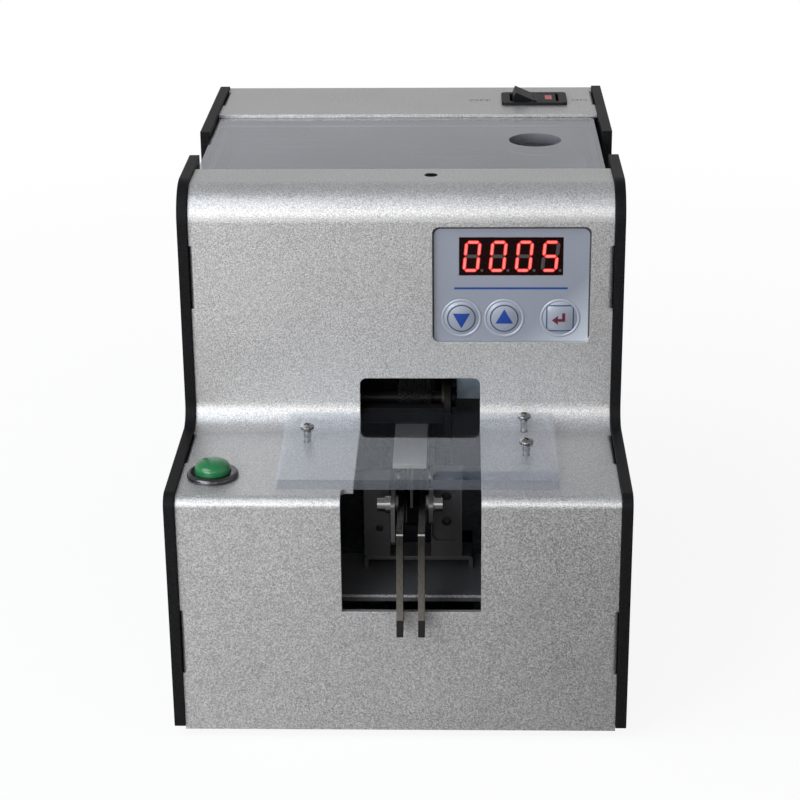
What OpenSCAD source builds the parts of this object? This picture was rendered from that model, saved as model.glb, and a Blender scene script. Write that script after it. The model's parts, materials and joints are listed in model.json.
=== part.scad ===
// Bench screw counting machine: a hopper with a scoop wheel feeds screws onto a vibrating rail,
// which hands them out one by one between two horns at the front while a counter keeps the tally.
// Millimetres, +Z up. On the bench Y runs back from the front edges of the side panels and Z up from
// their bottoms; seated() then puts the origin under the middle of the machine, on the floor.

/* [Body] */
// Width over the two side panels
body_w = 130; // [128:1:150]
// Depth of the side panels
panel_depth = 186; // [185:1:210]
// Height of the side panels
panel_h = 145.5; // [144:0.5:160]
// Thickness of a side panel
panel_t = 3; // [2:0.5:4]
// Thickness of the cover sheet
sheet_t = 1.5; // [1:0.1:1.8]
// How far the side panels stand proud of the covers
panel_proud = 1; // [0.5:0.1:1.5]
// Height of the shelf above the panel bottoms
shelf_z = 72; // [71:0.5:75]
// Distance of the upper face behind the panel fronts
face_y = 56.2; // [55:0.1:58]
// Bend radius at the front of the shelf
shelf_r = 2.8; // [2.2:0.1:4]
// Bend radius between shelf and upper face
inner_r = 7; // [6:0.1:8]
// Bend radius at the top of the upper face
top_r = 9.7; // [6:0.1:12]
// Length of the front cover's top behind the upper face
front_top_len = 23.2; // [22.5:0.1:25]
// Length of the rear cover's top
rear_top_len = 39.5; // [38:0.1:41]
// Bend radius at the back of the rear cover
rear_r = 2; // [1.9:0.1:4]
// Rounding of the side panels' upper rear corner
panel_back_r = 4; // [2:0.1:6]
// How far the covers reach below the side panels
skirt_drop = 0.8; // [0.2:0.1:2]
// Start of the finger notch in the side panel tops
notch_y = 92; // [86:1:96]
// Length of the finger notch
notch_len = 28; // [20:1:34]
// Depth of the finger notch
notch_deep = 14; // [10:0.5:18]

/* [Base and feet] */
// Thickness of the base plate
base_t = 2; // [1.5:0.1:2.5]
// Height of the base plate's underside above the panel bottoms
base_z = 1; // [0.5:0.1:2]
// Height of the base plate's side flanges
flange_h = 12; // [10:0.5:13]
// Height of the feet below the panel bottoms
foot_h = 3.5; // [3:0.1:8]
// Diameter of a foot
foot_d = 13; // [12:0.5:16]
// Inset of the foot centres from the side panels
foot_in_x = 12; // [10:0.5:20]
// Inset of the foot centres from the panel ends
foot_in_y = 16; // [12:0.5:25]

/* [Fastening] */
// Thread diameter of the panel and foot screws
screw_d = 3; // [2.5:0.1:3.5]
// Thread diameter of the clear plate's and the cover's small screws
small_screw_d = 2; // [1.8:0.1:2.5]
// Length of a panel screw
panel_screw_len = 6; // [5:0.5:7]
// Depth of the cover tabs behind the sheet
tab_deep = 12; // [10:0.5:14]
// Distance of a tab's screw from the sheet face
tab_hole = 7; // [6:0.1:8]
// Bend radius where a tab leaves the sheet
tab_r = 1.4; // [0.8:0.1:2]

/* [Front opening] */
// Left side of the front opening
open_x0 = -16; // [-20:0.1:-13.5]
// Left side of the slot in the shelf and of the upper window
slot_x0 = -12.6; // [-13:0.1:-8]
// Right side of the opening, slot and window
open_x1 = 23.2; // [21.5:0.1:28]
// Bottom of the front opening
open_z = 37.2; // [36:0.1:38]
// Top of the upper window
window_z = 86.6; // [84:0.1:90]
// How far the front opening runs back into the shelf
open_back_y = 8; // [7.6:0.1:8.4]

/* [Shelf plate] */
// Width of the clear plate
plate_w = 79; // [70:1:90]
// Length of the clear plate
plate_len = 46; // [44:0.1:46.2]
// Thickness of the clear plate
plate_t = 3; // [2:0.1:4]
// Middle of the clear plate
plate_x = 5.3; // [2:0.1:8]
// Front edge of the clear plate
plate_y = 7.5; // [6:0.1:7.6]
// Backward rise of the plate, which leans on the bend behind it
plate_tilt = 2.2; // [1.9:0.1:2.4]

/* [Lid and hopper] */
// Thickness of the lid
lid_t = 3; // [2:0.1:3.5]
// Depth of the lid's top below the panel tops
lid_sink = 2.1; // [2:0.1:3]
// Diameter of the lid's finger hole
finger_d = 16.5; // [12:0.5:20]
// Wall of the hopper
hopper_wall = 2; // [1:0.1:2]
// Depth of the rail's top in the hopper's trough, above its lowest point
trough_deep = 18.05; // [17.5:0.05:19]

/* [Rail] */
// Middle of the rail
rail_x = 3.5; // [3:0.1:4]
// Gap between the rail plates
rail_gap = 4.15; // [3:0.05:4.5]
// Thickness of a rail plate
rail_t = 1.9; // [1.5:0.1:2]
// Depth of the rail's top below the shelf
rail_sink = 10; // [9.5:0.1:11]
// Depth of the rail plates where they run free
rail_deep = 8; // [7:0.1:9]
// Depth of the rail feet below the rail's top
rail_foot = 18; // [17:0.1:19]
// Drop of the horns below the rail's top
horn_drop = 29; // [26:0.1:32]
// Reach of the horn tips in front of the side panels
horn_reach = 6.3; // [5:0.1:8]
// Width of a horn at its tip
horn_w = 4.7; // [4:0.1:4.8]
// Height of the black tips
tip_h = 4.7; // [4:0.1:6]
// Travel of the rail's vibration to each side
rail_swing = 0.4; // [0.2:0.05:0.5]

/* [Wheel and gears] */
// Width of the scoop wheel
wheel_w = 17; // [15:0.5:18]
// Number of scoops
scoop_count = 6; // [4:1:6]
// Diameter of the wheel shaft
shaft_d = 5; // [4:0.1:6]
// Diameter of the brush shaft
brush_shaft_d = 4; // [3:0.1:5]
// Radius of the brush
brush_r = 7.5; // [6:0.1:7.8]
// Width of the brush
brush_w = 10; // [8:0.5:12]
// Distance of the brush axle behind the upper face
brush_back = 15.35; // [15:0.05:15.6]
// Height of the brush axle above the rail
brush_rise = 12.5; // [12:0.1:13]
// Teeth of the wheel gear
wheel_teeth = 60; // [58:1:60]
// Teeth of the brush gear
brush_teeth = 24; // [22:1:24]
// Teeth of the motor pinion
pinion_teeth = 20; // [18:1:22]
// Width of the gears
gear_w = 5; // [4:0.1:6]
// Direction from the wheel axle to the pinion
pinion_dir = -60; // [-66:1:-54]

/* [Counter] */
// Distance of the counter's cut-out from the right panel
counter_in = 6.7; // [5:0.1:9]
// Width of the counter's cut-out
counter_w = 46.2; // [45:0.1:47]
// Distance of the counter's cut-out below the cover's top
counter_drop = 11.1; // [10.8:0.1:14]
// Height of the counter's cut-out
counter_h = 35.4; // [34.5:0.1:36]
// Width of the display
display_w = 30.2; // [28:0.1:32]
// Height of the display
display_h = 11.5; // [10:0.1:13]
// Diameter of a round key
key_d = 10.6; // [9:0.1:11]
// Travel of a key
key_travel = 0.4; // [0.2:0.05:0.5]

/* [Button and switch] */
// Thread diameter of the start button
button_d = 12; // [11:0.1:13]
// Diameter of the start button's flange
button_flange_d = 14.7; // [14:0.1:16]
// Diameter of the start button's cap
button_cap_d = 10.2; // [9:0.1:10.4]
// Travel of the start button
button_travel = 2.5; // [1.5:0.1:3]
// Length of the switch bezel
switch_w = 21.7; // [20.5:0.1:22.5]
// Width of the switch bezel
switch_d = 15; // [14:0.1:16]
// Tilt of the rocker to each side of the middle
rocker_tilt = 12; // [8:0.5:13]

/* [Clearances] */
// Gap beside assembled sheet and board edges
fit_gap = 0.1; // [0.05:0.01:0.2]
// Radial gap of a shaft in its bush
run_gap = 0.05; // [0.02:0.01:0.1]
// Gap round a screw in its hole
hole_gap = 0.2; // [0.1:0.05:0.3]
// Gap round the lid
lid_gap = 0.4; // [0.3:0.05:0.6]
// Gap round keys, button cap and rocker
press_gap = 0.2; // [0.15:0.01:0.3]
// Play between gear teeth
gear_play = 0.25; // [0.2:0.01:0.4]

/* [Hidden] */
$fn = 48;
over = 1;

inner_x = body_w / 2 - panel_t;
cover_x = inner_x - fit_gap;
top_z = panel_h - panel_proud;
front_y = panel_proud;
rear_y = panel_depth;
front_back_y = face_y + front_top_len;
rear_front_y = rear_y - rear_top_len;
floor_z = base_z + base_t;

// Seats of the side tabs: start on the sheet's outer face (Y, Z), turn about X, length
front_tabs = [[front_y, 17.4, 0, 20], [26, shelf_z, -90, 22], [face_y, top_z - 36, 0, 19.2]];
rear_tabs = [[rear_y - 27, top_z, -90, 20], [rear_y, 62, 180, 22]];
base_screw_z = floor_z + flange_h * 0.5;
base_points = [[30, base_screw_z], [panel_depth - 34, base_screw_z]];
panel_points = concat([for (t = front_tabs) tab_point(t)], [for (t = rear_tabs) tab_point(t)], base_points);
csk_ratio = 1.9;
pan_ratio = 2;

foot_points = [for (x = [-1, 1], y = [foot_in_y, panel_depth - foot_in_y]) [x * (inner_x - foot_in_x), y]];
foot_skin = 1.6;

// Lid and hopper
lid_z = panel_h - lid_sink - lid_t;
lid_x = inner_x - 0.9;
lid_xm = -0.5;
lid_rest = 1.6;
lid_y0 = front_back_y + lid_gap;
lid_y1 = rear_front_y - lid_gap;
finger_x = lid_xm + lid_x - 19.9;
finger_y = (lid_y0 + lid_y1) / 2 + 4.45;
hopper_top = lid_z - 0.2;
hopper_y0 = front_back_y + lid_rest;
hopper_x = lid_x - 1.1;
rim_h = 9;
rim_t = 2;
scoop_room = 3.65;
slope_room = 2.5;

// Rail, wheel and gear places
rail_z = shelf_z - rail_sink;
trough_r = (rear_front_y - lid_gap - hopper_y0) / 2 - hopper_wall;
axle_y = hopper_y0 + hopper_wall + trough_r;
axle_z = rail_z + trough_r - trough_deep;
rail_half = rail_gap / 2 + rail_t;
wheel_r = trough_r - 0.7;
wheel_x1 = rail_x - rail_half - 1.5;
wheel_x0 = wheel_x1 - wheel_w;
hopper_xl = wheel_x0 - 1.5;
hopper_xr = rail_x + rail_half + 2;
plate_boss = 1;
bearing_t = 2;
left_plate_x = hopper_xl - hopper_wall - plate_boss;
right_plate_x = hopper_xr + hopper_wall + plate_boss;
gear_x1 = left_plate_x - bearing_t - 2.5;
gear_x0 = gear_x1 - gear_w;
brush_y = face_y + brush_back;
brush_z = rail_z + brush_rise;
brush_dir = atan2(brush_z - axle_z, brush_y - axle_y);
gear_m = 2 * norm([brush_y - axle_y, brush_z - axle_z]) / (wheel_teeth + brush_teeth);
pinion_dist = gear_m * (wheel_teeth + pinion_teeth) / 2;
pinion_y = axle_y + pinion_dist * cos(pinion_dir);
pinion_z = axle_z + pinion_dist * sin(pinion_dir);
bush_wall = 1.5;
bush_flange_t = 0.8;
bearing_y0 = face_y + sheet_t + 0.9;
bearing_y1 = axle_y + 16.5;
bearing_top = max(axle_z, brush_z) + 7;
slot_half = rail_half + 2;
slot_z0 = rail_z - 12;
slot_z1 = rail_z + 28;
gate_t = 1.4;
boss_points = [[axle_y, axle_z] + polar(trough_r - 7, 216.4), [axle_y, axle_z] + polar(trough_r - 6, -63.4)];
motor_plate_x = gear_x0 - 2;
motor_d = 25;
motor_shaft_d = 4;
motor_gap = 3.5;
motor_x0 = -inner_x + motor_gap;
motor_x1 = motor_plate_x - bearing_t;
gearbox_len = 9;

// Rail, carrier and vibrator
kink_y = 0;
kink_flat = 0.6;
rail_rear_y = axle_y + 12.5;
web_z = rail_z - rail_deep;
foot_z = rail_z - rail_foot;
tip_z = rail_z - horn_drop;
horn_root_y = kink_y + 8.5;
tongue_t = 0.9;
carrier_y0 = 44.8;
carrier_y1 = brush_y + 9.5;
foot_y0 = carrier_y0 + 1.2;
foot_y1 = carrier_y1 - 1.2;
rib_h = 5.5;
carrier_t = 7;
carrier_half = 7;
foot_screw_z = foot_z + 2.7;
foot_screw_d = 2.5;
clamp_d = 2.4;
clamp_y = 24.5;
clamp_z = rail_z - 2.1;
cheek_gap = 0.8;
cheek_t = 1.3;
cheek_rise = 1.5;
cheek_h = [7, 13.5];
washer_stack = [1.6, 0.3];
mount_h = 5;
block_h = 14;
block_half = 8;
block_z = floor_z + mount_h;
carrier_z = foot_z - carrier_t;
leaf_t = 0.8;
stud_d = 3;
stud_deep = 5;
coil_y0 = carrier_y0 + 9;
coil_len = 11;
core_z = block_z + block_h + 6;

// Deck, sensors and hold-down strip
deck_y0 = 12.4;
deck_y1 = 40;
deck_z = open_z - 0.4;
deck_t = 2;
deck_x0 = open_x0 - 8;
deck_x1 = open_x1 + 8;
channel_t = 1.2;
channel_h = 3.9;
channel_x0 = rail_x - 14.3;
channel_x1 = rail_x + 17.6;
sensor_y = 30;
sensor_deep = 9;
sensor_z = deck_z + channel_h;
strip_t = 1.5;
strip_z = shelf_z - 2.5;
strip_w = 9.7;
strip_x = rail_x - 0.8;
strip_y0 = 28;
bar_w = 4;
bar_h = 5;
bar_y = bearing_y0 + 0.1;
strip_screw_d = 2;
strip_screw_x = [strip_x - 2.8, strip_x + 2.8];

// Counter
counter_x0 = inner_x - counter_in - counter_w;
counter_z0 = top_z - counter_drop - counter_h;
overlay_t = 0.8;
overlay_y = face_y + sheet_t;
overlay_edge = 1.3;
counter_r = 2;
board_r = 1;
key_flange = 0.4;
housing_y = overlay_y + overlay_t;
housing_deep = 12;
housing_wall = 1.2;
board_y = housing_y + 8;
board_t = 1.6;
counter_xm = counter_x0 + counter_w / 2;
counter_zm = counter_z0 + counter_h / 2;
display_x = counter_x0 + 7.9;
display_z = counter_z0 + 20.3;
key_z = counter_z0 + 7.1;
down_x = counter_x0 + 8.5;
up_x = counter_x0 + 21.1;
set_x = counter_x0 + 37.5;
dome_h = 0.8;
key_back = housing_y + 3;
bracket_x = rail_x + 12.8;
bracket_t = 1.5;
cover_screw_x = rail_x + 5.1;
cover_screw_y = front_back_y - 6.7;
plate_points = [[-plate_w / 2 + 6.6, 35], [plate_w / 2 - 8.6, 43], [plate_w / 2 - 8.4, 25]];

// Start button, switch and power socket
button_x = -inner_x + 9.2;
button_y = 17;
button_flange_h = 1.5;
button_flange_r = 1;
button_deep = 20;
cap_dome = 2.6;
cap_rise = 0.9;
switch_x = inner_x - 20.1;
switch_y = rear_y - 20.4;
switch_lip = 1;
switch_body_w = switch_w - 1.8;
switch_body_d = switch_d - 2.1;
rocker_r = 7.2;
rocker_room = 0.9;
rocker_half = switch_body_d / 2 - 1.25;
rocker_pin_reach = 0.75;
rocker_z = top_z + 0.2;
rocker_pin_d = 2.4;
socket_x = -40;
socket_z = 25;
socket_d = 8;
socket_ring_d = 11;
socket_ring_t = 2;
circuit_x = [right_plate_x + bearing_t + 12.5, inner_x - 4];
circuit_y = [70, rear_front_y + 4];
circuit_z = floor_z + 6;

// Middle of the machine's reach from horn tips to power socket
centre_y = (rear_y + socket_ring_t - horn_reach) / 2;

// Screw place of a side tab in the side panel's plane
function tab_point(t) = [
  t[0] + cos(t[2]) * tab_hole - sin(t[2]) * t[3] / 2,
  t[1] + sin(t[2]) * tab_hole + cos(t[2]) * t[3] / 2
];

// Edges of a horn at a height
function horn_front(z) = kink_y - (rail_z - z) * (kink_y + horn_reach) / horn_drop;
function horn_back(z) = -horn_reach + horn_w
  + (z - tip_z) * (horn_root_y + horn_reach - horn_w) / (web_z - tip_z);

// Drop of a sloped wall's outer corner below its inner corner
function slope_drop(run, rise) = hopper_wall * tan(45 - atan2(rise, run) / 2);

// Involute tooth form: flank angle from the tooth's middle at radius r
function roll(rb, r) = r <= rb ? 0 : sqrt(pow(r / rb, 2) - 1);
function inv(rb, r) = roll(rb, r) * 180 / PI - atan(roll(rb, r));
function half_tooth(z, r) = let (rp = gear_m * z / 2, rb = rp * cos(20))
  90 / z - gear_play / (4 * rp) * 180 / PI + inv(rb, rp) - inv(rb, r);
function tooth_radii(z) = let (rp = gear_m * z / 2)
  [rp - 1.25 * gear_m, rp - 0.5 * gear_m, rp + 0.3 * gear_m, rp + 0.95 * gear_m];
function polar(r, a) = r * [cos(a), sin(a)];

// Turn of a driven gear so that its gap meets the wheel gear's tooth
function mesh_turn(dir, z) = dir + 180 + 180 / z + dir * wheel_teeth / z;

module seated() translate([0, -centre_y, foot_h]) children();

// Extrusions of (Y, Z) outlines along X and of (X, Z) outlines along Y
module along_x(x0, x1) translate([x0, 0, 0]) rotate([90, 0, 90]) linear_extrude(x1 - x0) children();
module along_y(y0, y1) translate([0, y1, 0]) rotate([90, 0, 0]) linear_extrude(y1 - y0) children();

// Rods along X and Y that start at a point
module rod_x(x, y, z, d, len) translate([x, y, z]) rotate([0, 90, 0]) cylinder(d = d, h = len);
module rod_y(x, y, z, d, len) translate([x, y, z]) rotate([-90, 0, 0]) cylinder(d = d, h = len);

module block(x, y, z) translate([x[0], y[0], z[0]]) cube([x[1] - x[0], y[1] - y[0], z[1] - z[0]]);

// What is cut from a square corner at the origin, and what fills one
module corner_cut(r) difference() {
  translate([-over, -over]) square(r + over);
  translate([r, r]) circle(r);
}
module corner_fill(r) difference() {
  translate([-over / 2, -over / 2]) square(r + over / 2);
  translate([r, r]) circle(r);
}

module rounded_rect(w, h, r) {
  square([w - 2 * r, h], center = true);
  square([w, h - 2 * r], center = true);
  for (x = [-1, 1], y = [-1, 1]) translate([x * (w / 2 - r), y * (h / 2 - r)]) circle(r);
}

// Section of the machine behind its front skin, moved in by an inset
module front_section(inset, bottom) {
  y0 = front_y + inset;
  y1 = face_y + inset;
  z1 = shelf_z - inset;
  z2 = top_z - inset;
  difference() {
    union() {
      translate([y0, bottom]) square([panel_depth - y0, z1 - bottom]);
      translate([y1, bottom]) square([panel_depth - y1, z2 - bottom]);
      translate([y1, z1]) mirror([1, 0]) corner_fill(inner_r + inset);
    }
    translate([y0, z1]) mirror([0, 1]) corner_cut(shelf_r - inset);
    translate([y1, z2]) mirror([0, 1]) corner_cut(top_r - inset);
  }
}

module rear_section(inset, bottom) difference() {
  translate([rear_front_y - inset, bottom]) square([rear_top_len, top_z - inset - bottom]);
  translate([rear_y - inset, top_z - inset]) rotate(180) corner_cut(rear_r - inset);
}

// A tab bent inwards from a cover's right edge, and the roll of its bend
module side_tab(t) translate([0, t[0], t[1]]) rotate([t[2], 0, 0]) difference() {
  translate([cover_x - sheet_t, sheet_t / 2, over]) cube([sheet_t, tab_deep - sheet_t / 2, t[3] - 2 * over]);
  rod_x(cover_x - sheet_t - over, tab_hole, t[3] / 2, screw_d + fit_gap, sheet_t + 2 * over);
}
module tab_bend(t) translate([cover_x, t[0], t[1]]) rotate([t[2], 0, 0])
  linear_extrude(t[3]) mirror([1, 0]) corner_cut(tab_r);

module panel_screw_holes() for (p = panel_points) {
  rod_x(inner_x - over, p[0], p[1], screw_d + 2 * hole_gap, panel_t + 2 * over);
  translate([body_w / 2, p[0], p[1]]) rotate([0, 90, 0]) csk_sink(screw_d);
}

module panel_screws() for (p = panel_points)
  translate([body_w / 2, p[0], p[1]]) rotate([0, 90, 0]) rotate(25 + p[0])
    csk_screw(screw_d, panel_screw_len);

module panel_outline() difference() {
  front_section(-panel_proud, 0);
  translate([notch_y + notch_len / 2, panel_h]) rounded_rect(notch_len, 2 * notch_deep, 3);
  translate([panel_depth, panel_h]) rotate(180) corner_cut(panel_back_r);
  translate([panel_depth, 0]) mirror([1, 0]) corner_cut(1.5);
  corner_cut(1.5);
}

module right_panel_solid() difference() {
  along_x(inner_x, body_w / 2) panel_outline();
  panel_screw_holes();
}

// Cross recess that opens upwards at the origin
module cross_recess(d) for (a = [0, 90]) rotate(a)
  translate([-d * 0.55, -d * 0.11, -d * 0.4]) cube([d * 1.1, d * 0.22, d * 0.4 + over]);

// Countersunk screw pointing down, its flush top at the origin, and the sink for it
function csk_h(d) = d * (csk_ratio - 1) / 2;
module csk_screw(d, len) {
  translate([0, 0, -len]) cylinder(d = d, h = len - csk_h(d));
  difference() {
    translate([0, 0, -csk_h(d)]) cylinder(d1 = d, d2 = d * csk_ratio, h = csk_h(d));
    cross_recess(d * 0.8);
  }
}
module csk_sink(d) translate([0, 0, -csk_h(d) - hole_gap])
  cylinder(d1 = d + 2 * hole_gap, d2 = d * csk_ratio + 4 * hole_gap, h = csk_h(d) + 2 * hole_gap);

// Pan head screw pointing down, its head's seat at the origin
module pan_screw(d, len) {
  translate([0, 0, -len]) cylinder(d = d, h = len);
  difference() {
    intersection() {
      cylinder(d = d * pan_ratio, h = d);
      translate([0, 0, -d * 1.1]) sphere(d * 1.75);
    }
    translate([0, 0, d * 0.65]) rotate(35) cross_recess(d);
  }
}

module gear_outline(z, turn) polygon([
  for (i = [0 : z - 1], s = [-1, 1], k = [0 : 3])
    let (r = tooth_radii(z)[s < 0 ? k : 3 - k])
    polar(r, turn + i * 360 / z + s * half_tooth(z, r))
]);

// Gear with a hub on its right, bored for a shaft
module gear(z, turn, y, z_axis, bore, hub_d, hub_len) translate([0, y, z_axis]) difference() {
  union() {
    along_x(gear_x0, gear_x1) gear_outline(z, turn);
    rod_x(gear_x0, 0, 0, hub_d, gear_w + hub_len);
  }
  rod_x(gear_x0 - over, 0, 0, bore + 2 * run_gap, gear_w + hub_len + 2 * over);
}

// Flanged bush in a bearing plate, its flange towards the hopper
module bush(x, side, y, z, d) translate([x, y, z]) mirror([side < 0 ? 1 : 0, 0, 0]) difference() {
  union() {
    rod_x(0, 0, 0, d + 2 * bush_wall, bearing_t);
    rod_x(-bush_flange_t, 0, 0, d + 4 * bush_wall, bush_flange_t);
  }
  rod_x(-over - bush_flange_t, 0, 0, d + 2 * run_gap, bearing_t + 3 * over);
}

// Headed shaft that runs from the gear to a head outside the right bearing plate
module headed_shaft(y, z, d) {
  rod_x(gear_x0, y, z, d, right_plate_x + bearing_t + 0.3 - gear_x0);
  rod_x(right_plate_x + bearing_t + 0.3, y, z, d + 2, 1.1);
}

// Bearing plate with a turned-out foot and two bosses that seat the hopper
module bearing_plate(x, side) translate([x, 0, 0]) mirror([side < 0 ? 1 : 0, 0, 0]) {
  difference() {
    union() {
      along_x(0, bearing_t) difference() {
        translate([bearing_y0, floor_z]) square([bearing_y1 - bearing_y0, bearing_top - floor_z]);
        translate([bearing_y0, bearing_top]) mirror([0, 1]) corner_cut(6);
        translate([bearing_y1, bearing_top]) rotate(180) corner_cut(12);
        translate([(bearing_y0 + bearing_y1) / 2 - 4, (floor_z + rail_z) / 2 - 6]) rounded_rect(34, 26, 5);
      }
      block([0, 9], [bearing_y0 + 6, bearing_y1 - 6], [floor_z, floor_z + bearing_t]);
      for (p = boss_points) rod_x(-plate_boss, p[0], p[1], 7, plate_boss + bearing_t / 2);
    }
    rod_x(-over, axle_y, axle_z, shaft_d + 2 * bush_wall + 0.04, bearing_t + 2 * over);
    rod_x(-over, brush_y, brush_z, brush_shaft_d + 2 * bush_wall + 0.04, bearing_t + 2 * over);
  }
}

// Hopper sections: half width w beyond the inner faces gives inner (0) or outer (wall) form
module hopper_side_section(w, top) {
  half = hopper_x - hopper_wall + w;
  rim_z = hopper_top - rim_h;
  left_z = axle_z + wheel_r + scoop_room;
  right_z = bearing_top + slope_room;
  drop_l = w > 0 ? slope_drop(hopper_xl + half - w, rim_z - left_z) : 0;
  drop_r = w > 0 ? slope_drop(half - w - hopper_xr, rim_z - right_z) : 0;
  polygon([
    [hopper_xl - w, floor_z], [hopper_xr + w, floor_z], [hopper_xr + w, right_z - drop_r],
    [half, rim_z - drop_r], [half, top], [-half, top], [-half, rim_z - drop_l],
    [hopper_xl - w, left_z - drop_l]
  ]);
}
module hopper_end_section(w, top) {
  translate([axle_y, axle_z]) circle(trough_r + w, $fn = 96);
  translate([axle_y - trough_r - w, axle_z]) square([2 * (trough_r + w), top - axle_z]);
}
module hopper_form(w, top) intersection() {
  along_y(hopper_y0 - over, axle_y + trough_r + hopper_wall + over) hopper_side_section(w, top);
  along_x(-hopper_x - over, hopper_x + over) hopper_end_section(w, top);
}

// A scoop: half a ring that opens into the direction of turning
module scoop_outline() translate([wheel_r - 9.3, 0]) difference() {
  circle(9);
  circle(7.6);
  translate([-10, 0]) square([20, 10]);
}

module rail_outline() difference() {
  union() {
    polygon([
      [kink_y + kink_flat, rail_z], [horn_front(rail_z - kink_flat), rail_z - kink_flat],
      [-horn_reach, tip_z], [horn_back(tip_z), tip_z], [horn_root_y, web_z],
      [rail_rear_y, web_z], [rail_rear_y, rail_z]
    ]);
    translate([foot_y0, foot_z]) square([foot_y1 - foot_y0, rail_foot - rail_deep / 2]);
    translate([foot_y0, web_z]) rotate(180) corner_fill(3);
    translate([foot_y1, web_z]) mirror([0, 1]) corner_fill(3);
  }
  translate([rail_rear_y, rail_z]) rotate(180) corner_cut(1.5);
}

module rail_plate(side) translate([rail_x, 0, 0]) mirror([side < 0 ? 1 : 0, 0, 0]) difference() {
  union() {
    along_x(rail_gap / 2, rail_gap / 2 + rail_t) difference() {
      rail_outline();
      translate([-horn_reach - over, tip_z - over]) square([horn_w + 4 * over, tip_h + over]);
    }
    tongue_x = rail_gap / 2 + (rail_t - tongue_t) / 2;
    along_x(tongue_x, tongue_x + tongue_t) horn_tongue(0);
  }
  rod_x(0, clamp_y, clamp_z, clamp_d + 2 * run_gap, rail_half + over);
  for (y = [foot_y0 + 6, foot_y1 - 6])
    rod_x(0, y, foot_screw_z, foot_screw_d + 2 * run_gap, rail_half + over);
}

// Thin tongue at the end of a horn, grown by a gap for the tip's pocket
module horn_tongue(gap) {
  z0 = tip_z + 1.4 - gap;
  z1 = tip_z + tip_h + 0.5 + gap;
  polygon([
    [horn_front(z0) + 1.4 - gap, z0], [horn_back(z0) - 1.4 + gap, z0],
    [horn_back(z1) - 1.4 + gap, z1], [horn_front(z1) + 1.4 - gap, z1]
  ]);
}

module button_dome(d, h) intersection() {
  cylinder(d = d, h = h);
  translate([0, 0, h - (d * d / 4 + h * h) / (2 * h)]) sphere((d * d / 4 + h * h) / (2 * h));
}

// Domed key cap with a retaining flange behind the overlay
module key(x) translate([x, overlay_y, key_z]) rotate([-90, 0, 0]) {
  cylinder(d = key_d, h = key_back - overlay_y);
  mirror([0, 0, 1]) button_dome(key_d, dome_h);
  translate([0, 0, overlay_t + 0.3]) cylinder(d = key_d + 2 * key_flange, h = 0.8);
}

module base_plate() color("dimgray") seated() difference() {
  union() {
    block([-cover_x, cover_x], [front_y + sheet_t + fit_gap, rear_y - sheet_t - fit_gap], [base_z, floor_z]);
    for (s = [0, 1]) mirror([s, 0, 0])
      block([cover_x - base_t, cover_x], [tab_deep + 8, panel_depth - tab_deep - 8],
        [base_z, floor_z + flange_h]);
  }
  for (p = foot_points) translate([p[0], p[1], base_z - over])
    cylinder(d = screw_d + fit_gap, h = base_t + 2 * over);
  for (s = [0, 1], p = base_points) mirror([s, 0, 0])
    rod_x(cover_x - base_t - over, p[0], p[1], screw_d + fit_gap, base_t + 2 * over);
}

module rubber_feet() color("black") seated() for (p = foot_points)
  translate([p[0], p[1], -foot_h]) difference() {
    cylinder(d1 = foot_d - 1.6, d2 = foot_d, h = foot_h + base_z);
    translate([0, 0, -over]) cylinder(d = screw_d + 2 * hole_gap, h = foot_h + base_z + 2 * over);
    translate([0, 0, -over]) cylinder(d = pan_ratio * screw_d + 1, h = foot_h + base_z - foot_skin + over);
  }

module foot_screws() color("silver") seated() for (p = foot_points)
  translate([p[0], p[1], base_z - foot_skin]) mirror([0, 0, 1]) pan_screw(screw_d, foot_skin + base_t + 2);

module left_side_panel() color([0.05, 0.05, 0.06]) seated() mirror([1, 0, 0]) right_panel_solid();

module right_side_panel() color([0.05, 0.05, 0.06]) seated() right_panel_solid();

module panel_screws_left() color([0.2, 0.2, 0.2]) seated() mirror([1, 0, 0]) panel_screws();

module panel_screws_right() color([0.2, 0.2, 0.2]) seated() panel_screws();

module front_cover() color([0.72, 0.72, 0.73]) seated() difference() {
  union() {
    along_x(-cover_x, cover_x) difference() {
      front_section(0, -skirt_drop);
      front_section(sheet_t, -skirt_drop - over);
      translate([front_back_y, -skirt_drop - over]) square([panel_depth, panel_h + 2 * over]);
    }
    for (s = [0, 1], t = front_tabs) mirror([s, 0, 0]) side_tab(t);
  }
  for (s = [0, 1], t = front_tabs) mirror([s, 0, 0]) tab_bend(t);
  front_opening();
  counter_cutout();
  translate([button_x, button_y, shelf_z - sheet_t - over])
    cylinder(d = button_d + 2 * fit_gap, h = sheet_t + 2 * over);
  on_plate() for (p = plate_points)
    translate([p[0], p[1], -3 * sheet_t]) cylinder(d = small_screw_d + 2 * hole_gap, h = 6 * sheet_t);
  translate([cover_screw_x, cover_screw_y, top_z]) {
    translate([0, 0, -sheet_t - over]) cylinder(d = small_screw_d + 2 * hole_gap, h = sheet_t + 2 * over);
    csk_sink(small_screw_d);
  }
}

// Opening in the lower face, slot along the shelf and window in the upper face, as one cut
module front_opening() {
  corner = 2;
  window_w = open_x1 - slot_x0;
  translate([0, 0, open_z]) linear_extrude(shelf_z - open_z + over) difference() {
    translate([open_x0, -over]) square([open_x1 - open_x0, open_back_y + over]);
    translate([open_x0, open_back_y]) mirror([0, 1]) corner_cut(corner * 0.75);
  }
  block([slot_x0, open_x1], [open_back_y - over, face_y], [shelf_z - inner_r, shelf_z + inner_r]);
  along_y(face_y - inner_r, face_y + sheet_t + over)
    translate([slot_x0 + window_w / 2, (shelf_z + window_z) / 2 - inner_r])
    rounded_rect(window_w, window_z - shelf_z + 2 * inner_r, corner);
}

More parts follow.
